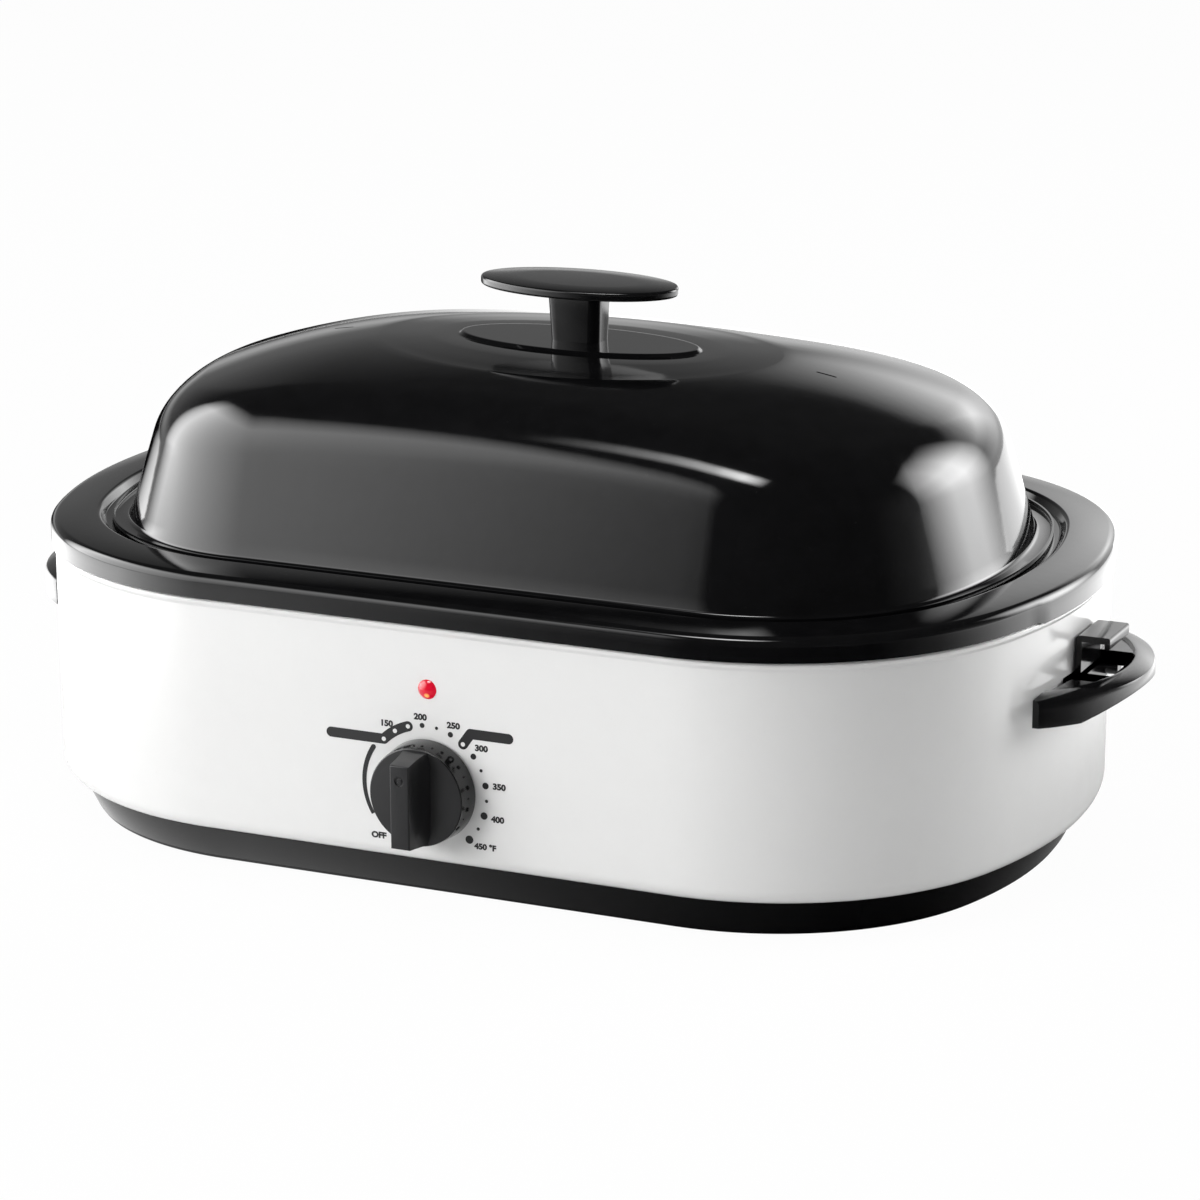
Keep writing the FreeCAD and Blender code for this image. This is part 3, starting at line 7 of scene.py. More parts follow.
import bmesh
import bpy
from bmesh.types import BMEdge, BMesh, BMFace, BMVert
from mathutils import Matrix, Vector


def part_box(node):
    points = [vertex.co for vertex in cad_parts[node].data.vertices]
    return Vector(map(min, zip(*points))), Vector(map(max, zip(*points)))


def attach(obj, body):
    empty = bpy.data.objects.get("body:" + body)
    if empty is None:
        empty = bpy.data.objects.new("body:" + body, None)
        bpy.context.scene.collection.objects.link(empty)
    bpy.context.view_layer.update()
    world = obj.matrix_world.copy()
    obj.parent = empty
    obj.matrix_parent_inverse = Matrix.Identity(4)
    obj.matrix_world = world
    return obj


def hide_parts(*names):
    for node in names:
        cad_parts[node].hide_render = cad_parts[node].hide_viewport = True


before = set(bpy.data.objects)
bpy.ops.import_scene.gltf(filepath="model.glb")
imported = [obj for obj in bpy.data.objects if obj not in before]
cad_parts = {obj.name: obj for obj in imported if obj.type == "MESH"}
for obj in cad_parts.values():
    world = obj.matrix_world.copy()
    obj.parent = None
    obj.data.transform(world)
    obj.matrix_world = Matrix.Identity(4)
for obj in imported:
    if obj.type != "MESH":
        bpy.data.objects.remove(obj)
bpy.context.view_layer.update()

LOG = logging.getLogger("roaster")

# Sizes are millimetres about the middle of the body, and every piece is scaled and moved to the
# part's frame when its mesh is finished.
MILLIMETRE = 0.001
PAN_LOW, PAN_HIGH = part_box("roasting_pan")
MIDDLE_Y = (PAN_LOW.y + PAN_HIGH.y) / 2
PLACE = Matrix.Translation((0.0, MIDDLE_Y, 0.0)) @ Matrix.Scale(MILLIMETRE, 4)
UP = Vector((0.0, 0.0, 1.0))


# ---------------------------------------------------------------- shader expressions

class Value:
    """A number on a shader socket. Used in an expression, it adds Math nodes to its material."""

    def __init__(self, web: "Web", socket: bpy.types.NodeSocket) -> None:
        """Keep the socket and the web it belongs to."""
        self.web = web
        self.socket = socket

    def maths(self, operation: str, *terms: "Value | float") -> "Value":
        """Add one Math node.

        Args:
            operation: the Math node's operation.
            terms: its inputs in order, as values or plain numbers.

        Returns:
            The node's result.
        """
        links = dict(enumerate(terms))
        return self.web.node("ShaderNodeMath", links, operation=operation).value()

    def __add__(self, other: "Value | float") -> "Value":
        """This plus another."""
        return self.maths("ADD", self, other)

    def __radd__(self, other: float) -> "Value":
        """A number plus this."""
        return self.maths("ADD", other, self)

    def __sub__(self, other: "Value | float") -> "Value":
        """This less another."""
        return self.maths("SUBTRACT", self, other)

    def __rsub__(self, other: float) -> "Value":
        """A number less this."""
        return self.maths("SUBTRACT", other, self)

    def __mul__(self, other: "Value | float") -> "Value":
        """This times another."""
        return self.maths("MULTIPLY", self, other)

    def __rmul__(self, other: float) -> "Value":
        """A number times this."""
        return self.maths("MULTIPLY", other, self)

    def __truediv__(self, other: "Value | float") -> "Value":
        """This over another."""
        return self.maths("DIVIDE", self, other)

    def above(self, edge: float, soft: float) -> "Value":
        """A mask that rises from 0 to 1 over soft, with its middle at edge."""
        ramp = (self - (edge - soft / 2)) / soft
        return self.web.node("ShaderNodeClamp", {"Value": ramp}).value()

    def largest(self, other: "Value | float") -> "Value":
        """The larger of this and another."""
        return self.maths("MAXIMUM", self, other)


class Knot:
    """One node of a web, with short ways to its outputs."""

    def __init__(self, web: "Web", node: bpy.types.Node) -> None:
        """Keep the node and the web it belongs to."""
        self.web = web
        self.node = node

    def value(self, output: str | int = 0) -> Value:
        """One of the node's outputs as a number."""
        return Value(self.web, self.node.outputs[output])

    def out(self, output: str | int = 0) -> bpy.types.NodeSocket:
        """One of the node's outputs as a plain socket."""
        return self.node.outputs[output]


class Web:
    """The node tree of a material, a lamp or the world."""

    def __init__(self, owner: bpy.types.ID) -> None:
        """Start from an empty tree."""
        owner.use_nodes = True
        self.tree = owner.node_tree
        self.tree.nodes.clear()

    def node(self, kind: str, inputs: dict | None = None, **settings: str) -> Knot:
        """Add one node.

        Args:
            kind: the node's type.
            inputs: values or links, by socket name or number.
            settings: its own settings, set before its sockets.

        Returns:
            The new node.
        """
        node = self.tree.nodes.new(kind)
        for key, setting in settings.items():
            setattr(node, key, setting)
        for key, given in (inputs or {}).items():
            if isinstance(given, Value):
                given = given.socket
            elif isinstance(given, Knot):
                given = given.out()
            if isinstance(given, bpy.types.NodeSocket):
                self.tree.links.new(given, node.inputs[key])
            else:
                node.inputs[key].default_value = given
        return Knot(self, node)

    def place(self) -> bpy.types.NodeSocket:
        """The point on the piece, in metres of the part's frame."""
        return self.node("ShaderNodeTexCoord").out("Object")

    def stretched(self, scale: tuple[float, float, float]) -> bpy.types.NodeSocket:
        """The point on the piece, scaled along each axis."""
        inputs = {"Vector": self.place(), "Scale": scale}
        return self.node("ShaderNodeMapping", inputs).out()

    def noise(self, scale: float, detail: float = 2.0, where: bpy.types.NodeSocket | None = None,
              rough: float = 0.5) -> Value:
        """Cloudy noise from 0 to 1.

        Args:
            scale: features to the metre.
            detail: how many finer layers it has.
            where: the points to read, the piece's own where none are given.
            rough: how strong the finer layers are.

        Returns:
            The noise as a number.
        """
        inputs = {"Vector": where or self.place(), "Scale": scale, "Detail": detail,
                  "Roughness": rough}
        return self.node("ShaderNodeTexNoise", inputs).value("Fac")

    def blend(self, factor: Value, low: "tuple | bpy.types.NodeSocket",
              high: tuple) -> bpy.types.NodeSocket:
        """A colour between two colours, by a factor. The first may be a link."""
        start = low if isinstance(low, bpy.types.NodeSocket) else (*low, 1.0)
        inputs = {0: factor, 6: start, 7: (*high, 1.0)}
        return self.node("ShaderNodeMix", inputs, data_type="RGBA").out(2)

    def bump(self, height: Value, distance: float) -> bpy.types.NodeSocket:
        """A normal bent by a height, whose full step is distance in metres."""
        inputs = {"Height": height, "Distance": distance, "Strength": 1.0}
        return self.node("ShaderNodeBump", inputs).out()

    def seen(self) -> Value:
        """1 for rays from the camera, a mirror or clear material, and 0 for light that falls."""
        ray = self.node("ShaderNodeLightPath")
        mirrored = ray.value("Is Glossy Ray").largest(ray.value("Is Transmission Ray"))
        return ray.value("Is Camera Ray").largest(mirrored)

    def light(self, strength: "Value | float") -> Knot:
        """A plain white glow."""
        return self.node("ShaderNodeEmission", {"Color": (1, 1, 1, 1), "Strength": strength})


# ---------------------------------------------------------------- finishes

@dataclass(frozen=True)
class Finish:
    """A plain finish, with the grain, mottle and roughness that its kind has."""

    name: str
    slot: str
    colour: tuple[float, float, float]
    rough: float
    metal: float = 0.0
    coat: float = 0.0
    tone: float = 0.12
    tone_scale: float = 90.0
    rough_spread: float = 0.05
    grain_scale: float = 900.0
    grain: float = 0.00002
    stretch: tuple[float, float, float] = (1.0, 1.0, 1.0)
    coat_rough: float = 0.05

    def material(self) -> bpy.types.Material:
        """The finish as a material, made on first use."""
        made = bpy.data.materials.get(self.name)
        if made is None:
            made = bpy.data.materials.new(self.name)
            self.weave(Web(made))
        return made

    def shader_inputs(self, web: Web) -> dict:
        """The values and links of the surface's shader."""
        where = web.stretched(self.stretch)
        cloud = web.noise(self.tone_scale, 3.0, where)
        fine = web.noise(self.grain_scale, 2.0, where)
        pale = tuple(min(c * (1 + self.tone), 1.0) for c in self.colour)
        deep = tuple(c * (1 - self.tone) for c in self.colour)
        return {
            "Base Color": web.blend(cloud.above(0.5, 0.5), deep, pale),
            "Roughness": self.rough + (cloud - 0.5) * self.rough_spread * 2,
            "Metallic": self.metal,
            "Coat Weight": self.coat,
            "Coat Roughness": self.coat_rough,
            "Normal": web.bump(fine, self.grain),
        }

    def weave(self, web: Web) -> None:
        """Build the node tree."""
        shader = web.node("ShaderNodeBsdfPrincipled", self.shader_inputs(web))
        web.node("ShaderNodeOutputMaterial", {"Surface": shader})


@dataclass(frozen=True)
class Enamel(Finish):
    """Fired or baked enamel: a fine ripple in the gloss, with scattered pin specks."""

    grain_scale: float = 1400.0
    grain: float = 0.000002
    ripple_scale: float = 160.0
    ripple: float = 0.00002
    speck: tuple[float, float, float] = (0.5, 0.5, 0.5)
    speck_share: float = 0.25
    speck_scale: float = 1500.0
    patch_scale: float = 240.0

    def shader_inputs(self, web: Web) -> dict:
        """The plain finish with a longer ripple and specks."""
        inputs = super().shader_inputs(web)
        ripple = web.noise(self.ripple_scale, 1.0)
        fine = web.noise(self.grain_scale, 2.0)
        patches = web.noise(self.patch_scale, 1.0).above(0.52, 0.1)
        specks = web.noise(self.speck_scale, 0.0).above(0.83, 0.03) * patches
        inputs["Base Color"] = web.blend(specks * self.speck_share, inputs["Base Color"], self.speck)
        inputs["Normal"] = web.bump(ripple * self.ripple + fine * self.grain, 1.0)
        return inputs


@dataclass(frozen=True)
class Glow(Finish):
    """A clear coloured part that lets some light through."""

    clear: float = 0.4
    glow: tuple[float, float, float] = (1.0, 0.3, 0.1)
    lit: float = 0.0
    spot_at: tuple[float, float, float] | None = None
    spot_glow: tuple[float, float, float] = (1.0, 1.0, 1.0)
    spot_size: float = 0.0012

    def shader_inputs(self, web: Web) -> dict:
        """The plain finish with light passing through, and the filament's bright spot."""
        inputs = super().shader_inputs(web)
        inputs["Transmission Weight"] = self.clear
        inputs["IOR"] = 1.5
        inputs["Emission Color"] = (*self.glow, 1.0)
        if self.spot_at:
            away = web.node("ShaderNodeVectorMath", {0: web.place(), 1: self.spot_at},
                            operation="DISTANCE").value("Value")
            outside = away.above(self.spot_size, self.spot_size)
            inputs["Emission Color"] = web.blend(outside, self.spot_glow, self.glow)
        inputs["Emission Strength"] = self.lit
        return inputs


@dataclass(frozen=True)
class KnobMoulding(Finish):
    """Moulding with a dark polished skirt and satin faces."""

    polished: float = 0.09
    skirt_tone: float = 0.35
    face_y: float = 0.0
    edge: float = 0.0008

    def shader_inputs(self, web: Web) -> dict:
        """The plain finish, polished from the wall to the knob's face."""
        inputs = super().shader_inputs(web)
        parts = web.node("ShaderNodeSeparateXYZ", {0: web.place()})
        skirt = parts.value("Y").above(self.face_y, self.edge)
        inputs["Roughness"] = inputs["Roughness"] * (1 - skirt) + skirt * self.polished
        pale = tuple(c * (1 + self.tone) for c in self.colour)
        deep = tuple(c * self.skirt_tone for c in self.colour)
        inputs["Base Color"] = web.blend(skirt, pale, deep)
        return inputs


@dataclass(frozen=True)
class Fibre(Finish):
    """A blanket of matted glass fibre."""

    strand_scale: float = 500.0
    strand_rise: float = 0.0012

    def shader_inputs(self, web: Web) -> dict:
        """Crossing strands, in colour and in height."""
        inputs = super().shader_inputs(web)
        along = web.noise(self.strand_scale, 4.0, web.stretched((1.0, 1.0, 9.0)), 0.7)
        across = web.noise(self.strand_scale, 4.0, web.stretched((6.0, 6.0, 1.0)), 0.7)
        strands = along.largest(across)
        pale = tuple(min(c * 1.15, 1.0) for c in self.colour)
        deep = tuple(c * 0.72 for c in self.colour)
        inputs["Base Color"] = web.blend(strands.above(0.58, 0.3), deep, pale)
        inputs["Normal"] = web.bump(strands, self.strand_rise)
        return inputs


class Look(Enum):
    """The finishes of the roaster."""

    WHITE_ENAMEL = Enamel("white_baked_enamel", "white_enamel", (0.82, 0.82, 0.815), 0.24, coat=0.35,
                          tone=0.006, rough_spread=0.03, ripple=0.000012, speck=(0.6, 0.6, 0.58))
    BLACK_ENAMEL = Enamel("black_vitreous_enamel", "black_enamel", (0.0042, 0.0042, 0.0046), 0.075,
                          tone=0.25, rough_spread=0.02, ripple=0.000010, speck=(0.09, 0.09, 0.09))
    BLACK_MOULDING = Finish("black_heatproof_moulding", "black_moulding", (0.005, 0.005, 0.0054), 0.12,
                            tone=0.18, rough_spread=0.04, grain_scale=2600.0, grain=0.000012)
    BASE_MOULDING = Finish("black_base_moulding", "black_moulding", (0.004, 0.004, 0.0043), 0.16,
                           tone=0.18, rough_spread=0.05, grain_scale=2600.0, grain=0.000014)
    KNOB_MOULDING = KnobMoulding("satin_knob_moulding", "satin_moulding", (0.013, 0.013, 0.014), 0.3,
                                 tone=0.12, rough_spread=0.04, grain_scale=3000.0, grain=0.00002,
                                 face_y=MIDDLE_Y - 0.1947)
    BRIGHT_STEEL = Finish("aluminised_sheet", "bright_steel", (0.62, 0.62, 0.61), 0.34, metal=0.55,
                          tone=0.1, tone_scale=220.0, rough_spread=0.1, grain_scale=900.0,
                          grain=0.00001, stretch=(1.0, 1.0, 5.0))
    HEATER_STRIP = Finish("aluminium_heater_strip", "heater_strip", (0.55, 0.55, 0.54), 0.42, metal=0.6,
                          tone=0.14, rough_spread=0.12, grain_scale=700.0, grain=0.00003,
                          stretch=(1.0, 1.0, 8.0))
    ZINC_STEEL = Finish("zinc_plated_steel", "zinc_steel", (0.66, 0.66, 0.64), 0.3, metal=0.6,
                        tone=0.1, tone_scale=600.0, rough_spread=0.1, grain_scale=2400.0, grain=0.00001)
    CHROMED_WIRE = Finish("chromed_wire", "chromed_wire", (0.8, 0.8, 0.8), 0.09, metal=0.8,
                          tone=0.03, rough_spread=0.04, grain_scale=2000.0, grain=0.000004)
    FOOT_RUBBER = Finish("matt_black_rubber", "foot_rubber", (0.026, 0.026, 0.026), 0.72,
                         tone=0.2, rough_spread=0.1, grain_scale=3200.0, grain=0.00006)
    RED_LENS = Glow("clear_red_lens", "red_lens", (0.42, 0.006, 0.018), 0.12, coat=0.4,
                    tone=0.1, tone_scale=500.0, grain_scale=1800.0, grain=0.00002, clear=0.2,
                    glow=(0.36, 0.001, 0.016), lit=1.0, spot_at=(0.0007, MIDDLE_Y - 0.1831, 0.1096),
                    spot_glow=(1.0, 0.62, 0.16))
    LAMP_GLASS = Glow("neon_lamp_glass", "lamp_glass", (0.95, 0.6, 0.4), 0.06,
                      tone=0.05, grain_scale=1200.0, grain=0.000004, clear=0.8)
    GLASS_FIBRE = Fibre("glass_fibre_blanket", "glass_fibre", (0.78, 0.74, 0.62), 0.9)
    CERAMIC = Finish("glazed_steatite", "ceramic", (0.82, 0.80, 0.74), 0.22, coat=0.3,
                     tone=0.03, grain_scale=1500.0, grain=0.00001)
    SWITCH_MOULDING = Finish("brown_phenolic", "switch_moulding", (0.26, 0.14, 0.07), 0.45,
                             tone=0.2, tone_scale=400.0, grain_scale=2600.0, grain=0.00002)
    DIAL_INK = Finish("dark_dial_ink", "black_enamel", (0.014, 0.014, 0.015), 0.42,
                      tone=0.12, tone_scale=900.0, grain_scale=4000.0, grain=0.000004)
    BARE_INK = Finish("white_dial_ink", "white_enamel", (0.84, 0.84, 0.83), 0.4,
                      tone=0.02, tone_scale=900.0, grain_scale=4000.0, grain=0.000004)


# ---------------------------------------------------------------- shop: forms and pieces

def meshed(form: BMesh, name: str) -> bpy.types.Mesh:
    """A form's mesh. The form is used up."""
    mesh = bpy.data.meshes.new(name)
    form.to_mesh(mesh)
    form.free()
    return mesh


def placed(name: str, data: bpy.types.ID) -> bpy.types.Object:
    """A new object in the scene."""
    made = bpy.data.objects.new(name, data)
    bpy.context.scene.collection.objects.link(made)
    return made


def spun(form: BMesh, geom: list, angle: float, steps: int, centre: tuple[float, float] = (0.0, 0.0),
         shift: float = 0.0, merge: bool = False) -> list:
    """Spin a part of a form about an upright axis, or carry it along X.

    Args:
        form: the bmesh that holds it.
        geom: what is spun.
        angle: how far round, in radians.
        steps: how many lengths the sweep has.
        centre: where the axis stands.
        shift: how far each step moves along X.
        merge: whether a full turn closes on itself.

    Returns:
        What the sweep ends with.
    """
    made = bmesh.ops.spin(form, geom=geom, cent=(*centre, 0), axis=(0, 0, 1), angle=angle,
                          dvec=(shift, 0, 0), steps=steps, use_merge=merge, use_duplicate=False)
    return made["geom_last"]


def bevelled(form: BMesh, geom: list, reach: float, steps: int, clamp: bool = False) -> None:
    """Round some edges of a form, or some corner points of a line."""
    kind = "VERTICES" if isinstance(geom[0], BMVert) else "EDGES"
    bmesh.ops.bevel(form, geom=geom, offset=reach, offset_type="OFFSET", segments=steps, profile=0.5,
                    affect=kind, clamp_overlap=clamp, material=-1)


def turned_profile(form: BMesh, corners: Sequence[tuple[float, float, float]],
                   steps: int = 5) -> list[BMEdge]:
    """Draw a line in the XZ plane and round its corners.

    Args:
        form: the bmesh to draw in.
        corners: (x, z, bend radius) along the line.
        steps: how many lengths each bend has.

    Returns:
        The line's edges.
    """
    verts = [form.verts.new((x, 0.0, z)) for x, z, _ in corners]
    for first, second in zip(verts, verts[1:]):
        form.edges.new((first, second))
    for before, here, after, vert in zip(corners, corners[1:], corners[2:], verts[1:-1]):
        if here[2] <= 0:
            continue
        middle = Vector((here[0], here[1]))
        back = Vector((before[0], before[1])) - middle
        ahead = Vector((after[0], after[1])) - middle
        reach = here[2] / math.tan(back.angle(ahead) / 2)
        bevelled(form, [vert], reach, steps)
    form.edges.ensure_lookup_table()
    return list(form.edges)


def face_outwards(form: BMesh, probe: Vector, way: Vector) -> None:
    """Turn every face the same way round, so that the face nearest to a point looks one way."""
    bmesh.ops.recalc_face_normals(form, faces=form.faces)
    nearest = min(form.faces, key=lambda f: (f.calc_center_median() - probe).length)
    if nearest.normal.dot(way) < 0:
        bmesh.ops.reverse_faces(form, faces=form.faces)


def revolved(corners: Sequence[tuple[float, float, float]], turns: int, bend_steps: int) -> BMesh:
    """Turn the line of a closed solid about the Z axis.

    Args:
        corners: (radius, z, bend radius) along the line.
        turns: steps round the axis.
        bend_steps: lengths in each bend.

    Returns:
        The turned form.
    """
    form = bmesh.new()
    edges = turned_profile(form, corners, bend_steps)
    spun(form, list(form.verts) + edges, math.tau, turns, merge=True)
    bmesh.ops.remove_doubles(form, verts=form.verts, dist=0.002)
    bmesh.ops.recalc_face_normals(form, faces=form.faces)
    return form


def flat(spots: Iterable[tuple[float, float, float]]) -> BMesh:
    """One flat face through points in order."""
    form = bmesh.new()
    form.faces.new([form.verts.new(spot) for spot in spots])
    return form


def pulled(form: BMesh, way: tuple[float, float, float]) -> BMesh:
    """A flat form pulled along a way into a closed solid."""
    made = bmesh.ops.extrude_face_region(form, geom=list(form.faces))
    far = [item for item in made["geom"] if isinstance(item, BMVert)]
    bmesh.ops.translate(form, verts=far, vec=way)
    bmesh.ops.recalc_face_normals(form, faces=form.faces)
    return form


def slab(outline: Sequence[tuple[float, float]], low: float, high: float) -> BMesh:
    """A plan outline of (x, y) points, pulled up from low to high."""
    return pulled(flat((x, y, low) for x, y in outline), (0, 0, high - low))


def block(near: float, far: float, half: float, low: float, high: float) -> BMesh:
    """A block from near to far along X, half to each side of that axis, from low to high."""
    return slab([(near, -half), (far, -half), (far, half), (near, half)], low, high)


def swung(section: Sequence[tuple[float, float]], swing: float, steps: int) -> BMesh:
    """Swing a closed section about the Z axis.

    Args:
        section: its (radius, z) points.
        swing: how far it reaches to each side of the X axis, in radians.
        steps: how many lengths the arc has.

    Returns:
        The curved bar.
    """
    form = flat((x, 0.0, z) for x, z in section)
    bmesh.ops.rotate(form, verts=form.verts, cent=(0, 0, 0), matrix=Matrix.Rotation(-swing, 3, "Z"))
    spun(form, list(form.verts) + list(form.edges) + list(form.faces), 2 * swing, steps)
    bmesh.ops.remove_doubles(form, verts=form.verts, dist=0.002)
    bmesh.ops.recalc_face_normals(form, faces=form.faces)
    return form


def disc(radius: float, low: float, high: float, spots: int = 32) -> BMesh:
    """A round bar about the Z axis."""
    form = bmesh.new()
    bmesh.ops.create_cone(form, cap_ends=True, segments=spots, radius1=radius, radius2=radius,
                          depth=high - low)
    bmesh.ops.translate(form, verts=form.verts, vec=(0, 0, (low + high) / 2))
    return form


def slot_tool(half: float, radius: float, low: float, high: float) -> BMesh:
    """Cutter of a round-ended slot that lies along X and reaches half to each side."""
    tool = disc(radius, low, high, 16)
    for vert in tool.verts:
        if abs(vert.co.x) > 1e-4:
            vert.co.x += math.copysign(half - radius, vert.co.x)
    return tool


def moved(form: BMesh, way: Matrix) -> BMesh:
    """The same form, moved or turned."""
    bmesh.ops.transform(form, matrix=way, verts=form.verts)
    return form


def gathered(forms: Iterable[BMesh]) -> BMesh:
    """Several forms in one bmesh."""
    whole = bmesh.new()
    for form in forms:
        mesh = meshed(form, "gathered")
        whole.from_mesh(mesh)
        bpy.data.meshes.remove(mesh)
    return whole


class Merge(Enum):
    """How closed forms are put together."""

    CUT = "DIFFERENCE"
    JOIN = "UNION"


def carved(blank: BMesh, *tools: BMesh, how: Merge = Merge.CUT) -> BMesh:
    """Cut closed forms out of another, or join them to it.

    Args:
        blank: the form that is changed.
        tools: the forms that are taken away or joined.
        how: whether they are taken away or joined.

    Returns:
        The one form that is left.
    """
    objects = [placed("carving", meshed(form, "carving")) for form in (blank, *tools)]
    for tool in objects[1:]:
        cut = objects[0].modifiers.new("cut", "BOOLEAN")
        cut.operation = how.value
        cut.solver = "EXACT"
        cut.object = tool
    final = objects[0].evaluated_get(bpy.context.evaluated_depsgraph_get())
    left = bmesh.new()
    left.from_mesh(final.to_mesh())
    final.to_mesh_clear()
    for item in objects:
        mesh = item.data
        bpy.data.objects.remove(item)
        bpy.data.meshes.remove(mesh)
    return left


def piece(form: BMesh, name: str, look: Look, body: str, replaces: Sequence[str] = (),
          sharp: float = 32.0, edge: float = 0.0) -> None:
    """Finish a form as a piece of the roaster.

    Args:
        form: the form in millimetres about the body's middle.
        name: the piece's name.
        look: its finish.
        body: the CAD body it moves with.
        replaces: the CAD nodes it stands for.
        sharp: edges that turn by more degrees than this stay sharp.
        edge: width of the small round on its sharp edges.
    """
    mesh = meshed(moved(form, PLACE), name)
    mesh.materials.append(look.value.material())
    mesh.shade_smooth()
    if edge <= 0:
        mesh.set_sharp_from_angle(angle=math.radians(sharp))
    made = placed(name, mesh)
    if edge > 0:
        rounding = made.modifiers.new("edges", "BEVEL")
        rounding.width = edge * MILLIMETRE
        rounding.segments = 3
        rounding.limit_method = "ANGLE"
        rounding.angle_limit = math.radians(sharp)
        rounding.harden_normals = True
    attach(made, body)
    if replaces:
        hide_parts(*replaces)
    LOG.info("piece %-18s on %-13s %6d faces", name, body, len(mesh.polygons))


# ---------------------------------------------------------------- plan outline

@dataclass(frozen=True)
class Outline:
    """The roaster's plan: straight front and back, round corners and bowed ends."""

    half_length: float
    half_width: float = 184.0
    corner: float = 145.0
    end: float = 270.0
    straight_step: float = 11.0
    arc_step: float = 1.6
    corner_steps: int = 34

    def joint(self) -> tuple[float, float]:
        """Half angle of an end's arc in radians, and half length of the straight front."""
        half = math.asin((self.half_width - self.corner) / (self.end - self.corner))
        run = self.half_length - self.end + (self.end - self.corner) * math.cos(half)
        return half, run

    def walk(self, form: BMesh, line: list[BMEdge], stops: Sequence[float] = (),
             marks: Sequence[float] = ()) -> None:
        """Carry a line right round the plan.

        Args:
            form: the bmesh that holds the line, drawn at the middle of the right-hand end.
            line: the line's edges.
            stops: places along the straights that have a row of points, from 0 outwards.
            marks: places along each end's arc, in degrees from its middle, with a row of points.
        """
        half, run = self.joint()
        side = self.half_width - self.corner
        end = self.half_length - self.end
        arc = [0.0, *(math.radians(mark) for mark in marks), half]
        reach = [*sorted(stops), run]
        corner_turn = math.pi / 2 - half
        geom: list = line + list({vert for each in line for vert in each.verts})

        def turn(centre: tuple[float, float], angle: float, steps: int) -> None:
            nonlocal geom
            geom = spun(form, geom, angle, steps, centre)

        def shift(distance: float) -> None:
            nonlocal geom
            steps = max(1, round(abs(distance) / self.straight_step))
            geom = spun(form, geom, 0.0, steps, shift=distance / steps)

        def end_arc(sign: int, outwards: bool) -> None:
            places = arc if outwards else arc[::-1]
            for first, second in zip(places, places[1:]):
                width = abs(second - first)
                turn((sign * end, 0), width, max(1, round(math.degrees(width) / self.arc_step)))

        def straight(sign: int) -> None:
            places = [place * -sign for place in reach[::-1]] + [place * sign for place in reach]
            for first, second in zip(places, places[1:]):
                if abs(second - first) > 0.01:
                    shift(second - first)

        for sign in (1, -1):
            end_arc(sign, True)
            turn((sign * run, sign * side), corner_turn, self.corner_steps)
            straight(-sign)
            turn((-sign * run, sign * side), corner_turn, self.corner_steps)
            end_arc(-sign, False)
        bmesh.ops.remove_doubles(form, verts=form.verts, dist=0.02)

    def inwards(self, spot: Vector) -> Vector:
        """The way straight inwards from a point on the outline."""
        half, run = self.joint()
        side = self.half_width - self.corner
        x, y = abs(spot.x), abs(spot.y)
        if x <= run + 1e-3:
            way = Vector((0.0, -1.0, 0.0))
        elif math.atan2(y, x - (self.half_length - self.end)) <= half:
            way = Vector((self.half_length - self.end - x, -y, 0.0))
        else:
            way = Vector((run - x, side - y, 0.0))
        way.normalize()
        return Vector((math.copysign(way.x, -spot.x) if way.x else 0.0,
                       math.copysign(way.y, -spot.y) if way.y else 0.0, 0.0))

    def swept(self, path: Sequence[tuple[float, float, float]], bend_steps: int = 5,
              stops: Sequence[float] = (), marks: Sequence[float] = ()) -> BMesh:
        """Carry a line of (inset, z, bend radius) corners right round the plan."""
        form = bmesh.new()
        corners = [(self.half_length - inset, z, bend) for inset, z, bend in path]
        self.walk(form, turned_profile(form, corners, bend_steps), stops, marks)
        return form


def fill_holes(form: BMesh, level: float) -> None:
    """Close the open rings that lie at one height."""
    edges = [e for e in form.edges if e.is_boundary
             and all(abs(v.co.z - level) < 0.05 for v in e.verts)]
    bmesh.ops.holes_fill(form, edges=edges, sides=0)


# ---------------------------------------------------------------- body and base

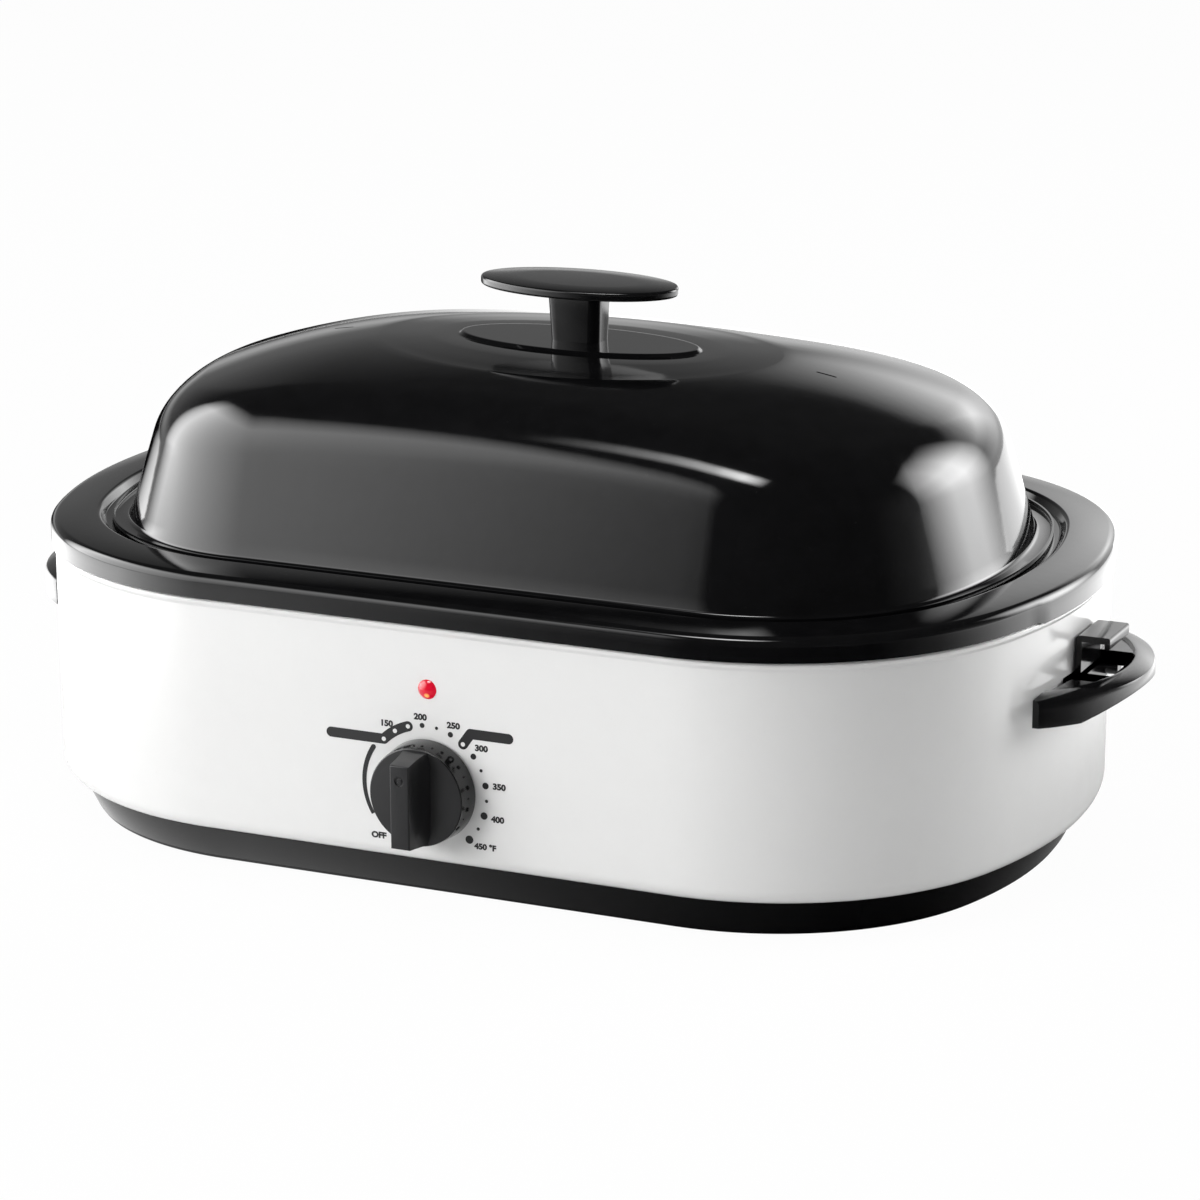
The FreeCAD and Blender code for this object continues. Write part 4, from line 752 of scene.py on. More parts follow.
@dataclass
class WhiteBody:
    """Enamelled steel wrap, closed by a panel at the rear."""

    outline: Outline = Outline(277.2)
    low: float = 22.5
    high: float = 152.2
    wall: float = 3.4
    sheet: float = 0.9
    foot_bend: float = 8.0
    bead_low: float = 140.1
    bead_height: float = 4.8
    bead_proud: float = 1.4
    foot_lap: float = 28.0
    top_lap: float = 16.0
    panel_half: float = 112.0
    seam: float = 0.2

    def skin(self) -> BMesh:
        """The whole wrap's outer skin."""
        wall, proud = self.wall, self.bead_proud
        bead_high = self.bead_low + self.bead_height
        path = [
            (wall + self.foot_lap, self.low, 0), (wall, self.low, self.foot_bend),
            (wall, self.low + 14.0, 0), (wall, self.bead_low - 4.0, 0),
            (wall, self.bead_low, 0.8), (wall - proud, self.bead_low + proud * 1.3, 0.9),
            (wall - proud, bead_high - proud, 0.9), (wall, bead_high, 0.6),
            (wall, self.high, 2.2), (wall + self.top_lap, self.high, 0),
        ]
        form = self.outline.swept(path, 6, stops=(self.panel_half,))
        probe = Vector((0, -self.outline.half_width + wall, 80))
        face_outwards(form, probe, Vector((0, -1, 0)))
        return form

    def part(self, rear: bool) -> BMesh:
        """Either the rear panel or the rest of the wrap, with its thickness."""
        form = self.skin()

        def is_rear(face: BMFace) -> bool:
            middle = face.calc_center_median()
            return middle.y > 0 and abs(middle.x) < self.panel_half

        other = [face for face in form.faces if is_rear(face) != rear]
        bmesh.ops.delete(form, geom=other, context="FACES")
        if rear:
            scale = (self.panel_half - self.seam) / self.panel_half
            bmesh.ops.scale(form, verts=form.verts, vec=(scale, 1, 1))
        bmesh.ops.solidify(form, geom=list(form.faces), thickness=self.sheet)
        return form

    def build(self) -> None:
        """Make the wrap and its rear panel."""
        piece(self.part(False), "white_wrap", Look.WHITE_ENAMEL, "roaster_body", ["outer_shell"])
        piece(self.part(True), "white_rear_panel", Look.WHITE_ENAMEL, "roaster_body", ["rear_panel"])


@dataclass
class Base:
    """Black moulded base with a stepped foot line and air slots in its floor."""

    outline: Outline = Outline(275.6)
    low: float = 3.0
    high: float = 22.5
    bottom_inset: float = 18.5
    top_inset: float = 10.0
    step: float = 1.2
    floor_inset: float = 120.0
    ledge: float = 12.0
    sheet: float = 1.9
    slot_x: float = 99.2
    slot_half: float = 23.0
    slot_radius: float = 2.5
    slot_pitch: float = 14.0
    slot_rows: int = 5

    def tray(self) -> BMesh:
        """The moulding without its slots."""
        low, high, foot = self.low, self.high, self.bottom_inset
        rise = self.step * 1.6
        path = [
            (self.floor_inset, low, 0), (foot + self.step, low, 0.5),
            (foot + self.step, low + rise, 0.3), (foot, low + rise, 0.5),
            (self.top_inset, high, 0.6), (self.top_inset + self.ledge, high, 0),
        ]
        form = self.outline.swept(path, 3)
        fill_holes(form, low)
        face_outwards(form, Vector((0, -self.outline.half_width + 14, 12)), Vector((0, -1, 0)))
        bmesh.ops.solidify(form, geom=list(form.faces), thickness=self.sheet)
        return form

    def slots(self) -> Iterable[BMesh]:
        """Cutters of two banks of rounded slots."""
        for side in (-1, 1):
            for row in range(self.slot_rows):
                y = (row - (self.slot_rows - 1) / 2) * self.slot_pitch
                tool = slot_tool(self.slot_half, self.slot_radius, self.low - 2, self.low + 6)
                yield moved(tool, Matrix.Translation((side * self.slot_x, y, 0)))

    def build(self) -> None:
        """Make the base."""
        piece(carved(self.tray(), gathered(self.slots())), "moulded_base", Look.BASE_MOULDING,
              "roaster_body", ["base_pan"])


# ---------------------------------------------------------------- pan

@dataclass
class Pan:
    """Enamelled lift-out pan: skirt, wide rim, recess for the lid, tapered sides."""

    outline: Outline = Outline(275.6)
    rim_top: float = 157.0
    crown: float = 1.5
    rim_width: float = 25.2
    skirt_bottom: float = 145.0
    ledge: float = 154.0
    ledge_start: float = 28.4
    ledge_end: float = 45.5
    taper: float = 9.0
    floor: float = 37.5
    floor_inset: float = 110.0
    floor_bend: float = 24.0
    ledge_bend: float = 4.5
    edge_bend: float = 4.5
    sheet: float = 1.0
    lip_angle: tuple[float, float] = (11.7, 12.6)
    lip_flare: float = 0.9
    lip_rise: float = -1.2
    lip_curve: float = 0.62

    def flare(self, form: BMesh) -> None:
        """Lean the skirt outwards in the middle of each end, for lifting."""
        centre = self.outline.half_length - self.outline.end
        top = self.rim_top - 0.4
        for vert in form.verts:
            angle = math.degrees(math.atan2(abs(vert.co.y), abs(vert.co.x) - centre))
            radius = math.hypot(vert.co.y, abs(vert.co.x) - centre)
            if angle > self.lip_angle[0] + 0.05 or radius < self.outline.end - 5 or vert.co.z > top:
                continue
            share = (top - vert.co.z) / (top - self.skirt_bottom)
            out = Vector((vert.co.x - math.copysign(centre, vert.co.x), vert.co.y, 0)).normalized()
            vert.co += out * self.lip_flare * share ** self.lip_curve + UP * self.lip_rise * share

    def build(self) -> None:
        """Make the pan."""
        low, end = self.skirt_bottom, self.ledge_end
        path = [
            (0, low, 0), (0, low + 2.5, 0), (0, low + 5.0, 0), (0, self.rim_top, self.edge_bend),
            (self.rim_width, self.rim_top + self.crown, 2.6), (self.ledge_start, self.ledge, 1.4),
            (end, self.ledge, self.ledge_bend), (end + self.taper, self.floor, self.floor_bend),
            (self.floor_inset, self.floor, 0),
        ]
        form = self.outline.swept(path, 6, marks=self.lip_angle)
        fill_holes(form, self.floor)
        face_outwards(form, Vector((0, -self.outline.half_width, 150)), Vector((0, -1, 0)))
        self.flare(form)
        bmesh.ops.solidify(form, geom=list(form.faces), thickness=self.sheet)
        piece(form, "enamelled_pan", Look.BLACK_ENAMEL, "pan", ["roasting_pan"])


# ---------------------------------------------------------------- lid

@dataclass
class Lid:
    """Domed lid: lipped flange, leaning walls, a soft shoulder, a flat top and an oval pad."""

    outline: Outline = Outline(275.6)
    seat: float = 155.0
    lip: tuple[float, float] = (32.8, 157.4)
    wall_inset: float = 41.0
    lean: float = math.radians(17.0)
    foot_bend: float = 2.5
    foot_height: float = 14.0
    top: float = 250.5
    flat_half: float = 100.0
    long_radius: float = 1400.0
    end_radius: float = 370.0
    cross_radius: float = 450.0
    shoulder: float = 42.0
    plateau: float = 247.4
    plateau_half: tuple[float, float] = (109.0, 70.0)
    pad_half: tuple[float, float] = (65.0, 27.5)
    pad_slope: float = 1.6
    pad_rise: float = 1.6
    pad_steps: tuple[tuple[float, float], ...] = (
        (9, 0), (2, 0), (1.25, 0), (0.85, 0.12), (0.15, 0.88), (-0.25, 1), (-1, 1), (-9, 1))
    pad_apron: float = 12.0
    apron_shares: tuple[float, ...] = (0.75, 0.45, 0.2)
    apron_curve: float = 1.3
    crease: float = 0.7
    pad_core: tuple[float, float] = (30.0, 13.0)
    fan_inset: float = 111.0
    sheet: float = 1.0
    vent_x: float = 135.0
    vent_stop: float = 105.0
    vent_half: tuple[float, float] = (5.5, 0.9)
    wall_rows: int = 8
    shoulder_rows: int = 14
    crown_rows: int = 12
    top_rows: int = 13

    def crown_height(self, x: float, y: float) -> float:
        """Height of the barrel-shaped crown over a point of the plan."""
        x = abs(x)
        if x <= self.flat_half:
            along = self.top - self.long_radius + math.sqrt(self.long_radius ** 2 - x * x)
        else:
            slope = math.asin(self.flat_half / self.long_radius)
            level = self.top - self.long_radius * (1 - math.cos(slope))
            centre_x = self.flat_half - self.end_radius * math.sin(slope)
            centre_z = level - self.end_radius * math.cos(slope)
            along = centre_z + math.sqrt(max(self.end_radius ** 2 - (x - centre_x) ** 2, 1.0))
        axis = self.top - self.cross_radius
        return axis + math.sqrt(max((along - axis) ** 2 - y * y, 1.0))

    def shoulder_arc(self, spot: Vector, inwards: Vector) -> tuple[Vector, Vector, Vector]:
        """The round between wall and crown in the upright plane through one outline point.

        Args:
            spot: the point on the outline.
            inwards: the way straight inwards there.

        Returns:
            Its centre, its start on the wall and its end on the crown, as (inset, z).
        """
        radius = self.shoulder
        wall_way = Vector((math.sin(self.lean), math.cos(self.lean)))
        off_wall = Vector((math.cos(self.lean), -math.sin(self.lean)))

        def crown_at(inset: float) -> float:
            return self.crown_height(spot.x + inwards.x * inset, spot.y + inwards.y * inset)

        def nearest(centre: Vector) -> Vector:
            inset = centre.x
            for _ in range(6):
                level = crown_at(inset)
                slope = (crown_at(inset + 0.5) - crown_at(inset - 0.5))
                gap = (centre.x - inset) + (centre.y - level) * slope
                inset += gap / (1 + slope * slope)
            return Vector((inset, crown_at(inset)))

        low, high = 10.0, 110.0
        for _ in range(26):
            middle = (low + high) / 2
            start = Vector((self.wall_inset, self.seat)) + wall_way * middle
            centre = start + off_wall * radius
            foot = nearest(centre)
            if foot.y > centre.y and (foot - centre).length > radius:
                low = middle
            else:
                high = middle
        return centre, start, foot

    def columns(self) -> list[tuple[float, float]]:
        """The rows of the lower profile, as (inset, z), from the lip to the foot of the wall."""
        line = bmesh.new()
        rise = self.foot_height
        corners = [(-self.lip[0], self.lip[1], 0), (-self.lip[0], self.seat, 0.9),
                   (-self.wall_inset, self.seat, self.foot_bend),
                   (-self.wall_inset - rise * math.tan(self.lean), self.seat + rise, 0)]
        turned_profile(line, corners, 5)
        start = next(v for v in line.verts if abs(v.co.z - self.lip[1]) < 1e-4)
        rows, edge = [(-start.co.x, start.co.z)], None
        while True:
            onward = [e for e in start.link_edges if e is not edge]
            if not onward:
                break
            edge = onward[0]
            start = edge.other_vert(start)
            rows.append((-start.co.x, start.co.z))
        line.free()
        return rows[:-1]

    def top_rings(self, crease: float) -> list[tuple[float, float, float]]:
        """The rings inside the crease: the flat top, the pad's slope and the pad.

        Args:
            crease: height of the crease above this row.

        Returns:
            Their (half length, half width, z), from the crease inwards.
        """
        (far, deep), (long, wide) = self.plateau_half, self.pad_half
        shrink = 1.0 - self.crease / far
        rings = [(far * shrink, deep * shrink, crease)]
        for share in self.apron_shares:
            near = 1.0 - share
            rise = (self.plateau - crease) * (1 - share ** self.apron_curve)
            rings.append(((long + self.pad_apron) * near + far * share,
                          (wide + self.pad_apron) * near + deep * share, crease + rise))
        for step, rise in self.pad_steps:
            out = self.pad_slope * step
            rings.append((long + out, wide + out, self.plateau + self.pad_rise * rise))
        return [*rings, (*self.pad_core, self.plateau + self.pad_rise)]

    def rows_at(self, spot: Vector, foot_rows: list[tuple[float, float]]) -> list[Vector]:
        """Every point of one upright row of the lid.

        Args:
            spot: the outline point that the row stands at.
            foot_rows: the lower profile.

        Returns:
            The points from the lip to the pad.
        """
        inwards = self.outline.inwards(spot)

        def stand(inset: float, z: float) -> Vector:
            return Vector((spot.x + inwards.x * inset, spot.y + inwards.y * inset, z))

        points = [stand(inset, z) for inset, z in foot_rows]
        centre, start, foot = self.shoulder_arc(spot, inwards)
        first = Vector(foot_rows[-1])
        for row in range(1, self.wall_rows):
            points.append(stand(*first.lerp(start, row / self.wall_rows)))
        begin, finish = start - centre, foot - centre
        first_angle = math.atan2(-begin.x, begin.y)
        turn = math.atan2(-finish.x, finish.y) - first_angle
        for row in range(self.shoulder_rows + 1):
            angle = first_angle + turn * row / self.shoulder_rows
            points.append(stand(centre.x - self.shoulder * math.sin(angle),
                                centre.y + self.shoulder * math.cos(angle)))
        edge = points[-1]
        fan = math.atan2(edge.y / (self.outline.half_width - self.fan_inset),
                         edge.x / (self.outline.half_length - self.fan_inset))

        def oval(long: float, wide: float, z: float) -> Vector:
            return Vector((long * math.cos(fan), wide * math.sin(fan), z))

        for row in range(1, self.crown_rows + 1):
            place = edge.lerp(oval(*self.plateau_half, 0.0), row / self.crown_rows)
            place.z = self.crown_height(place.x, place.y)
            points.append(place)
        rings = self.top_rings(points[-1].z)
        points[-1].z -= 0.02
        return points + [oval(*ring) for ring in rings]

    def dome(self) -> BMesh:
        """The lid's outer skin."""
        foot_rows = self.columns()
        count = len(foot_rows) + self.wall_rows + self.shoulder_rows + self.crown_rows + self.top_rows
        form = bmesh.new()
        line = turned_profile(form, [(self.outline.half_length, float(row), 0) for row in range(count)])
        self.outline.walk(form, line, stops=(self.vent_stop,))
        rows: dict[tuple[float, float], list[Vector]] = {}
        for vert in form.verts:
            key = (round(vert.co.x, 1), round(vert.co.y, 1))
            if key not in rows:
                rows[key] = self.rows_at(vert.co.copy(), foot_rows)
            vert.co = rows[key][round(vert.co.z)]
        fill_holes(form, self.plateau + self.pad_rise)
        face_outwards(form, Vector((0, -60, 247)), UP)
        return form

    def vents(self) -> BMesh:
        """Cutters of the two steam slots."""
        return gathered(moved(slot_tool(*self.vent_half, 200.0, 270.0),
                              Matrix.Translation((side * self.vent_x, 0, 0))) for side in (-1, 1))

    def build(self) -> None:
        """Make the lid."""
        form = self.dome()
        bmesh.ops.solidify(form, geom=list(form.faces), thickness=self.sheet)
        piece(carved(form, self.vents()), "domed_lid", Look.BLACK_ENAMEL, "lid", ["lid_shell"],
              sharp=40.0)


@dataclass
class LidGrip:
    """Oval grip plate on a tapered stem."""

    pad_top: float = 249.0
    stem_height: float = 26.6
    plate_half: tuple[float, float] = (53.8, 28.0)
    plate_thick: float = 4.5
    plate_deep: float = 0.8
    plate_edge: float = 1.3
    plate_dome: float = 0.8
    stem_top: tuple[float, float] = (14.8, 10.5)
    stem_foot: tuple[float, float] = (13.5, 9.0)
    corner: float = 5.5

    def plate(self) -> BMesh:
        """The oval plate, with round edges and a slightly raised middle."""
        long, wide = self.plate_half
        low = self.pad_top + self.stem_height - self.plate_deep
        high = low + self.plate_deep + self.plate_thick - self.plate_dome
        line = [(0.0, low, 0), (long, low, self.plate_edge), (long, high, self.plate_edge),
                (long * 0.62, high + self.plate_dome * 0.8, 60.0), (0.0, high + self.plate_dome, 0)]
        form = revolved(line, 96, 5)
        inset = long - wide
        for vert in form.verts:
            radius = math.hypot(vert.co.x, vert.co.y)
            if radius > 1e-4:
                ratio = min(1.0, max(0.0, radius - inset) / wide) if radius > inset else 0.0
                plain = wide / long
                vert.co.y *= plain + (ratio * wide / radius - plain) * (radius / long) ** 6
        return form

    def stem(self) -> BMesh:
        """The stem, as a rounded bar that widens upwards."""
        form = bmesh.new()
        bmesh.ops.create_cube(form, size=2.0)
        low, high = self.pad_top - 0.4, self.pad_top + self.stem_height + 0.8
        for vert in form.verts:
            half = self.stem_top if vert.co.z > 0 else self.stem_foot
            vert.co = Vector((vert.co.x * half[0], vert.co.y * half[1],
                              high if vert.co.z > 0 else low))
        upright = [e for e in form.edges if abs(e.verts[0].co.z - e.verts[1].co.z) > 1]
        bevelled(form, upright, self.corner, 8)
        return form

    def build(self) -> None:
        """Make the grip."""
        piece(gathered([self.plate(), self.stem()]), "oval_grip", Look.BLACK_MOULDING, "lid",
              ["lid_handle"], sharp=40.0)


# ---------------------------------------------------------------- side handles

@dataclass
class SideHandle:
    """Arched shelf grip with a sloped rim, a window and a bent clip over it."""

    wall_x: float = 273.8
    outer_x: float = 306.8
    arc: float = 89.0
    top: float = 109.0
    half: float = 69.0
    tip_depth: float = 14.0
    wall: float = 3.5
    plate: float = 3.5
    band: float = 8.5
    ridge_rise: float = 1.6
    ridge_width: float = 1.6
    tip_back: float = 3.0
    edge_out: float = 3.0
    foot_half: float = 28.0
    foot_thick: float = 3.5
    foot_depth: float = 13.0
    window_half: float = 15.2
    window_depth: float = 16.0
    clip_leg: float = 3.5
    clip_plate: float = 3.3
    clip_reach: float = 18.0
    clip_rise: float = 19.0
    clip_half: float = 15.2
    clip_lip: float = 6.4
    clip_thick: float = 2.8
    arch_half: float = 52.0
    arch_rise: float = 8.0
    strip_radius: float = 266.6
    strip_half: float = 55.0
    strip_out: float = 2.4
    strip_drop: float = 2.5
    boss_radius: float = 4.8
    boss_out: float = 11.5
    boss_angle: float = 5.6
    boss_drop: float = 7.0
    sunk: float = 1.2
    tool_down: float = 40.0
    tool_up: float = 20.0
    tool_past: float = 6.0

    def grip(self) -> BMesh:
        """The curved rim: outer wall, sloped band, ridge and shelf."""
        arc, top = self.arc, self.top
        low = top - self.tip_depth
        ridge_out = arc - self.band
        ridge_in = ridge_out - self.ridge_width
        line = [
            (arc - self.wall, low), (arc, low), (arc, top - 2.0), (arc - 0.6, top - 0.6),
            (arc - 2.0, top),
            (ridge_out, top + self.ridge_rise), (ridge_in, top + self.ridge_rise),
            (ridge_in - 1.0, top), (arc * 0.4, top), (arc * 0.4, top - self.plate),
            (arc - self.wall, top - self.plate),
        ]
        swing = math.asin(self.half / arc) + math.radians(4)
        form = moved(swung(line, swing, 44), Matrix.Translation((self.outer_x - arc, 0, 0)))
        for side in (-1, 1):
            geom = list(form.verts) + list(form.edges) + list(form.faces)
            cut = bmesh.ops.bisect_plane(form, geom=geom, dist=1e-4, clear_outer=True,
                                         plane_co=(0, side * self.half, 0), plane_no=(0, side, 0))
            rim = [e for e in cut["geom_cut"] if isinstance(e, BMEdge)]
            bmesh.ops.holes_fill(form, edges=rim, sides=0)
        bmesh.ops.recalc_face_normals(form, faces=form.faces)
        return form

    def wall_tool(self) -> BMesh:
        """Cutter of the side that faces the wall, which slants away from it towards the tips."""
        tip, edge = self.wall_x - self.tip_back, self.wall_x + self.edge_out
        foot, end = self.foot_half, self.half + self.tool_past
        past = (edge - tip) / (self.half - foot) * self.tool_past
        back = self.wall_x - 90
        spots = [(tip - past, -end), (edge, -foot), (edge, foot), (tip - past, end),
                 (back, end), (back, -end)]
        return slab(spots, self.top - self.tool_down, self.top + self.tool_up)

    def arch_tool(self) -> BMesh:
        """Cutter of the shallow arch under the rim."""
        low = self.top - self.tip_depth
        radius = (self.arch_half ** 2 + self.arch_rise ** 2) / (2 * self.arch_rise)
        tool = disc(radius, -40, 60, 160)
        across = Matrix.Rotation(math.radians(90), 4, "Y")
        centre = (self.wall_x, 0, low + self.arch_rise - radius)
        return moved(tool, Matrix.Translation(centre) @ across)

    def clip(self) -> BMesh:
        """The bent tab that a standing lid's edge hooks into."""
        wall, low = self.wall_x, self.top - 1
        top = self.top + self.clip_rise
        leg, reach = wall + self.clip_leg, wall + self.clip_reach
        under, lip = top - self.clip_plate, top - self.clip_lip
        back, hook = wall + 0.2, reach - self.clip_thick
        side = [(back, low), (back, top), (reach, top), (reach, lip + 1.5), (reach - 1, lip),
                (hook, lip + 0.6), (hook, under), (leg, under), (leg, low)]
        form = pulled(flat((x, -self.clip_half, z) for x, z in side), (0, 2 * self.clip_half, 0))
        for x, radius in ((back, 2.6), (reach, 1.2)):
            edges = [e for e in form.edges if all(abs(v.co.x - x) < 0.01 and abs(v.co.z - top) < 0.01
                                                  for v in e.verts)]
            bevelled(form, edges, radius, 5)
        return form

    def foot(self) -> BMesh:
        """The block that carries the shelf on the wall."""
        wall, top = self.wall_x, self.top
        return block(wall - self.sunk, wall + 22.0, self.foot_half, top - self.plate, top)

    def plate_on_wall(self) -> BMesh:
        """The upright plate against the wall, between the shelf and the wall strip."""
        wall, top = self.wall_x, self.top
        return block(wall - self.sunk - 0.2, wall + self.foot_thick, self.foot_half,
                     top - self.foot_depth, top)

    def strip(self) -> BMesh:
        """The strip along the wall with its screw bosses."""
        radius, top = self.strip_radius, self.top
        centre = self.wall_x - radius
        near, far = radius - self.sunk, radius + self.strip_out
        low, high = top - self.foot_depth, top - self.strip_drop
        ring = swung([(near, low), (far, low), (far, high), (near, high)],
                     math.asin(self.strip_half / radius), 24)
        forms = [moved(ring, Matrix.Translation((centre, 0, 0)))]
        for side in (-1, 1):
            angle = math.radians(self.boss_angle) * side
            way = Matrix.Rotation(angle, 4, "Z") @ Matrix.Rotation(math.radians(90), 4, "Y")
            spot = (centre + radius * math.cos(angle), radius * math.sin(angle), top - self.boss_drop)
            boss = disc(self.boss_radius, -2.0, self.boss_out, 24)
            forms.append(moved(boss, Matrix.Translation(spot) @ way))
        return gathered(forms)

    def window_tool(self) -> BMesh:
        """Cutter of the window."""
        near = self.wall_x + self.foot_thick
        return block(near, near + self.window_depth, self.window_half,
                     self.top - self.tool_down, self.top + self.tool_up)

    def build(self) -> None:
        """Make both handles."""
        handles = (("handle_grip_right", "handle_right", 0), ("handle_grip_left", "handle_left", 180))
        for name, node, turn in handles:
            grip = carved(self.grip(), self.wall_tool(), self.arch_tool(), self.window_tool())
            foot = carved(self.foot(), self.window_tool())
            whole = gathered([grip, foot, self.plate_on_wall(), self.strip(), self.clip()])
            piece(moved(whole, Matrix.Rotation(math.radians(turn), 4, "Z")), name,
                  Look.BLACK_MOULDING, "roaster_body", [node], sharp=35.0, edge=0.6)


# ---------------------------------------------------------------- controls

FRONT = Matrix.Rotation(math.radians(90), 4, "X")
FRONT_Y = -180.6


def on_front(z: float, y: float = FRONT_Y) -> Matrix:
    """The way from a form about the Z axis to the front wall, Z of the form pointing outwards."""
    return Matrix.Translation((0, y, z)) @ FRONT


@dataclass
class Knob:
    """Skirted control knob with a tapered finger bar."""

    height: float = 61.5
    skirt: float = 26.0
    face: float = 24.9
    reach: float = 14.5
    front: float = 32.0
    gap: float = 1.0
    wall: float = 2.2
    tip: float = 5.0
    root: float = 8.6
    end: float = 21.2
    bar_half: float = 6.6
    bar_corner: float = 6.5
    end_corner: float = 5.5
    bar_edge: float = 0.7
    levels: tuple[tuple[float, float], ...] = ((0.16, 0.50), (0.35, 0.24), (0.6, 0.08), (1.0, 0.0))
    hub: float = 6.0
    hub_reach: float = 3.4
    dimple: float = 2.5
    dimple_up: float = 13.5

    def skirted_disc(self) -> BMesh:
        """The turned body of the knob."""
        inner = self.reach - self.wall
        line = [(0, self.reach, 0), (self.face, self.reach, 0.8), (self.skirt, self.gap, 0.4),
                (self.skirt - self.wall, self.gap, 0.3), (self.face - self.wall, inner, 0),
                (self.hub, inner, 0), (self.hub, self.hub_reach, 0), (0, self.hub_reach, 0)]
        return revolved(line, 96, 4)

    def bar(self) -> BMesh:
        """The finger bar, waisted where the fingers press."""
        half, root = self.bar_half, self.root
        foot = math.sqrt(self.face ** 2 - (half + 0.3) ** 2) - 0.4
        near = foot - self.bar_corner
        base = [(-half, -foot), (half, -foot), (root, -near), (root, near),
                (half, foot), (-half, foot), (-root, near), (-root, -near)]
        form = flat((x, y, self.reach - 1.0) for x, y in base)
        top = next(iter(form.faces))
        for share, flare in self.levels:
            made = bmesh.ops.extrude_face_region(form, geom=[top, *top.edges])
            top = next(item for item in made["geom"] if isinstance(item, BMFace))
            for vert, (x, y) in zip(top.verts, base):
                far = self.end if abs(y) > near else self.end - self.end_corner
                across = self.tip + (abs(x) - self.tip) * flare
                along = abs(y) + (far - abs(y)) * share
                vert.co = (math.copysign(across, x), math.copysign(along, y),
                           self.reach + (self.front - self.reach) * share)
        bmesh.ops.recalc_face_normals(form, faces=form.faces)
        tops = [e for e in form.edges if all(v.co.z > self.front - 0.01 for v in e.verts)]
        bevelled(form, tops, self.bar_edge, 4, clamp=True)
        return form

    def build(self) -> None:
        """Make the knob."""
        front, rim = self.front, self.dimple
        hollow = revolved([(0, front - 0.35, 0), (1.2, front - 0.35, 0.2), (1.5, front - 0.75, 0.2),
                           (rim, front - 0.75, 0.3), (rim, front + 2, 0), (0, front + 2, 0)], 40, 3)
        bar = carved(self.bar(), moved(hollow, Matrix.Translation((0, self.dimple_up, 0))))
        whole = moved(gathered([self.skirted_disc(), bar]), on_front(self.height))
        piece(whole, "finger_knob", Look.KNOB_MOULDING, "knob", ["control_knob"], sharp=28.0)


@dataclass
class LampLens:
    """Small domed red lens."""

    height: float = 112.5
    radius: float = 5.0
    rise: float = 2.6
    barrel: float = 4.2
    bore: float = 3.3
    depth: float = 9.0
    dome_steps: int = 8

    def build(self) -> None:
        """Make the lens."""
        sphere = (self.radius ** 2 + self.rise ** 2) / (2 * self.rise)
        line = [(0.0, self.rise, 0)]
        for step in range(1, self.dome_steps + 1):
            radius = self.radius * step / self.dome_steps
            line.append((radius, self.rise - sphere + math.sqrt(sphere ** 2 - radius ** 2), 0))
        line += [(self.radius, 0.0, 0), (self.barrel, -0.01, 0), (self.barrel, -self.depth, 0),
                 (self.bore, -self.depth, 0), (self.bore, -0.4, 0), (0.0, -0.4, 0)]
        form = moved(revolved(line, 40, 2), on_front(self.height))
        piece(form, "lamp_dome", Look.RED_LENS, "roaster_body", ["lamp_lens"], sharp=40.0)


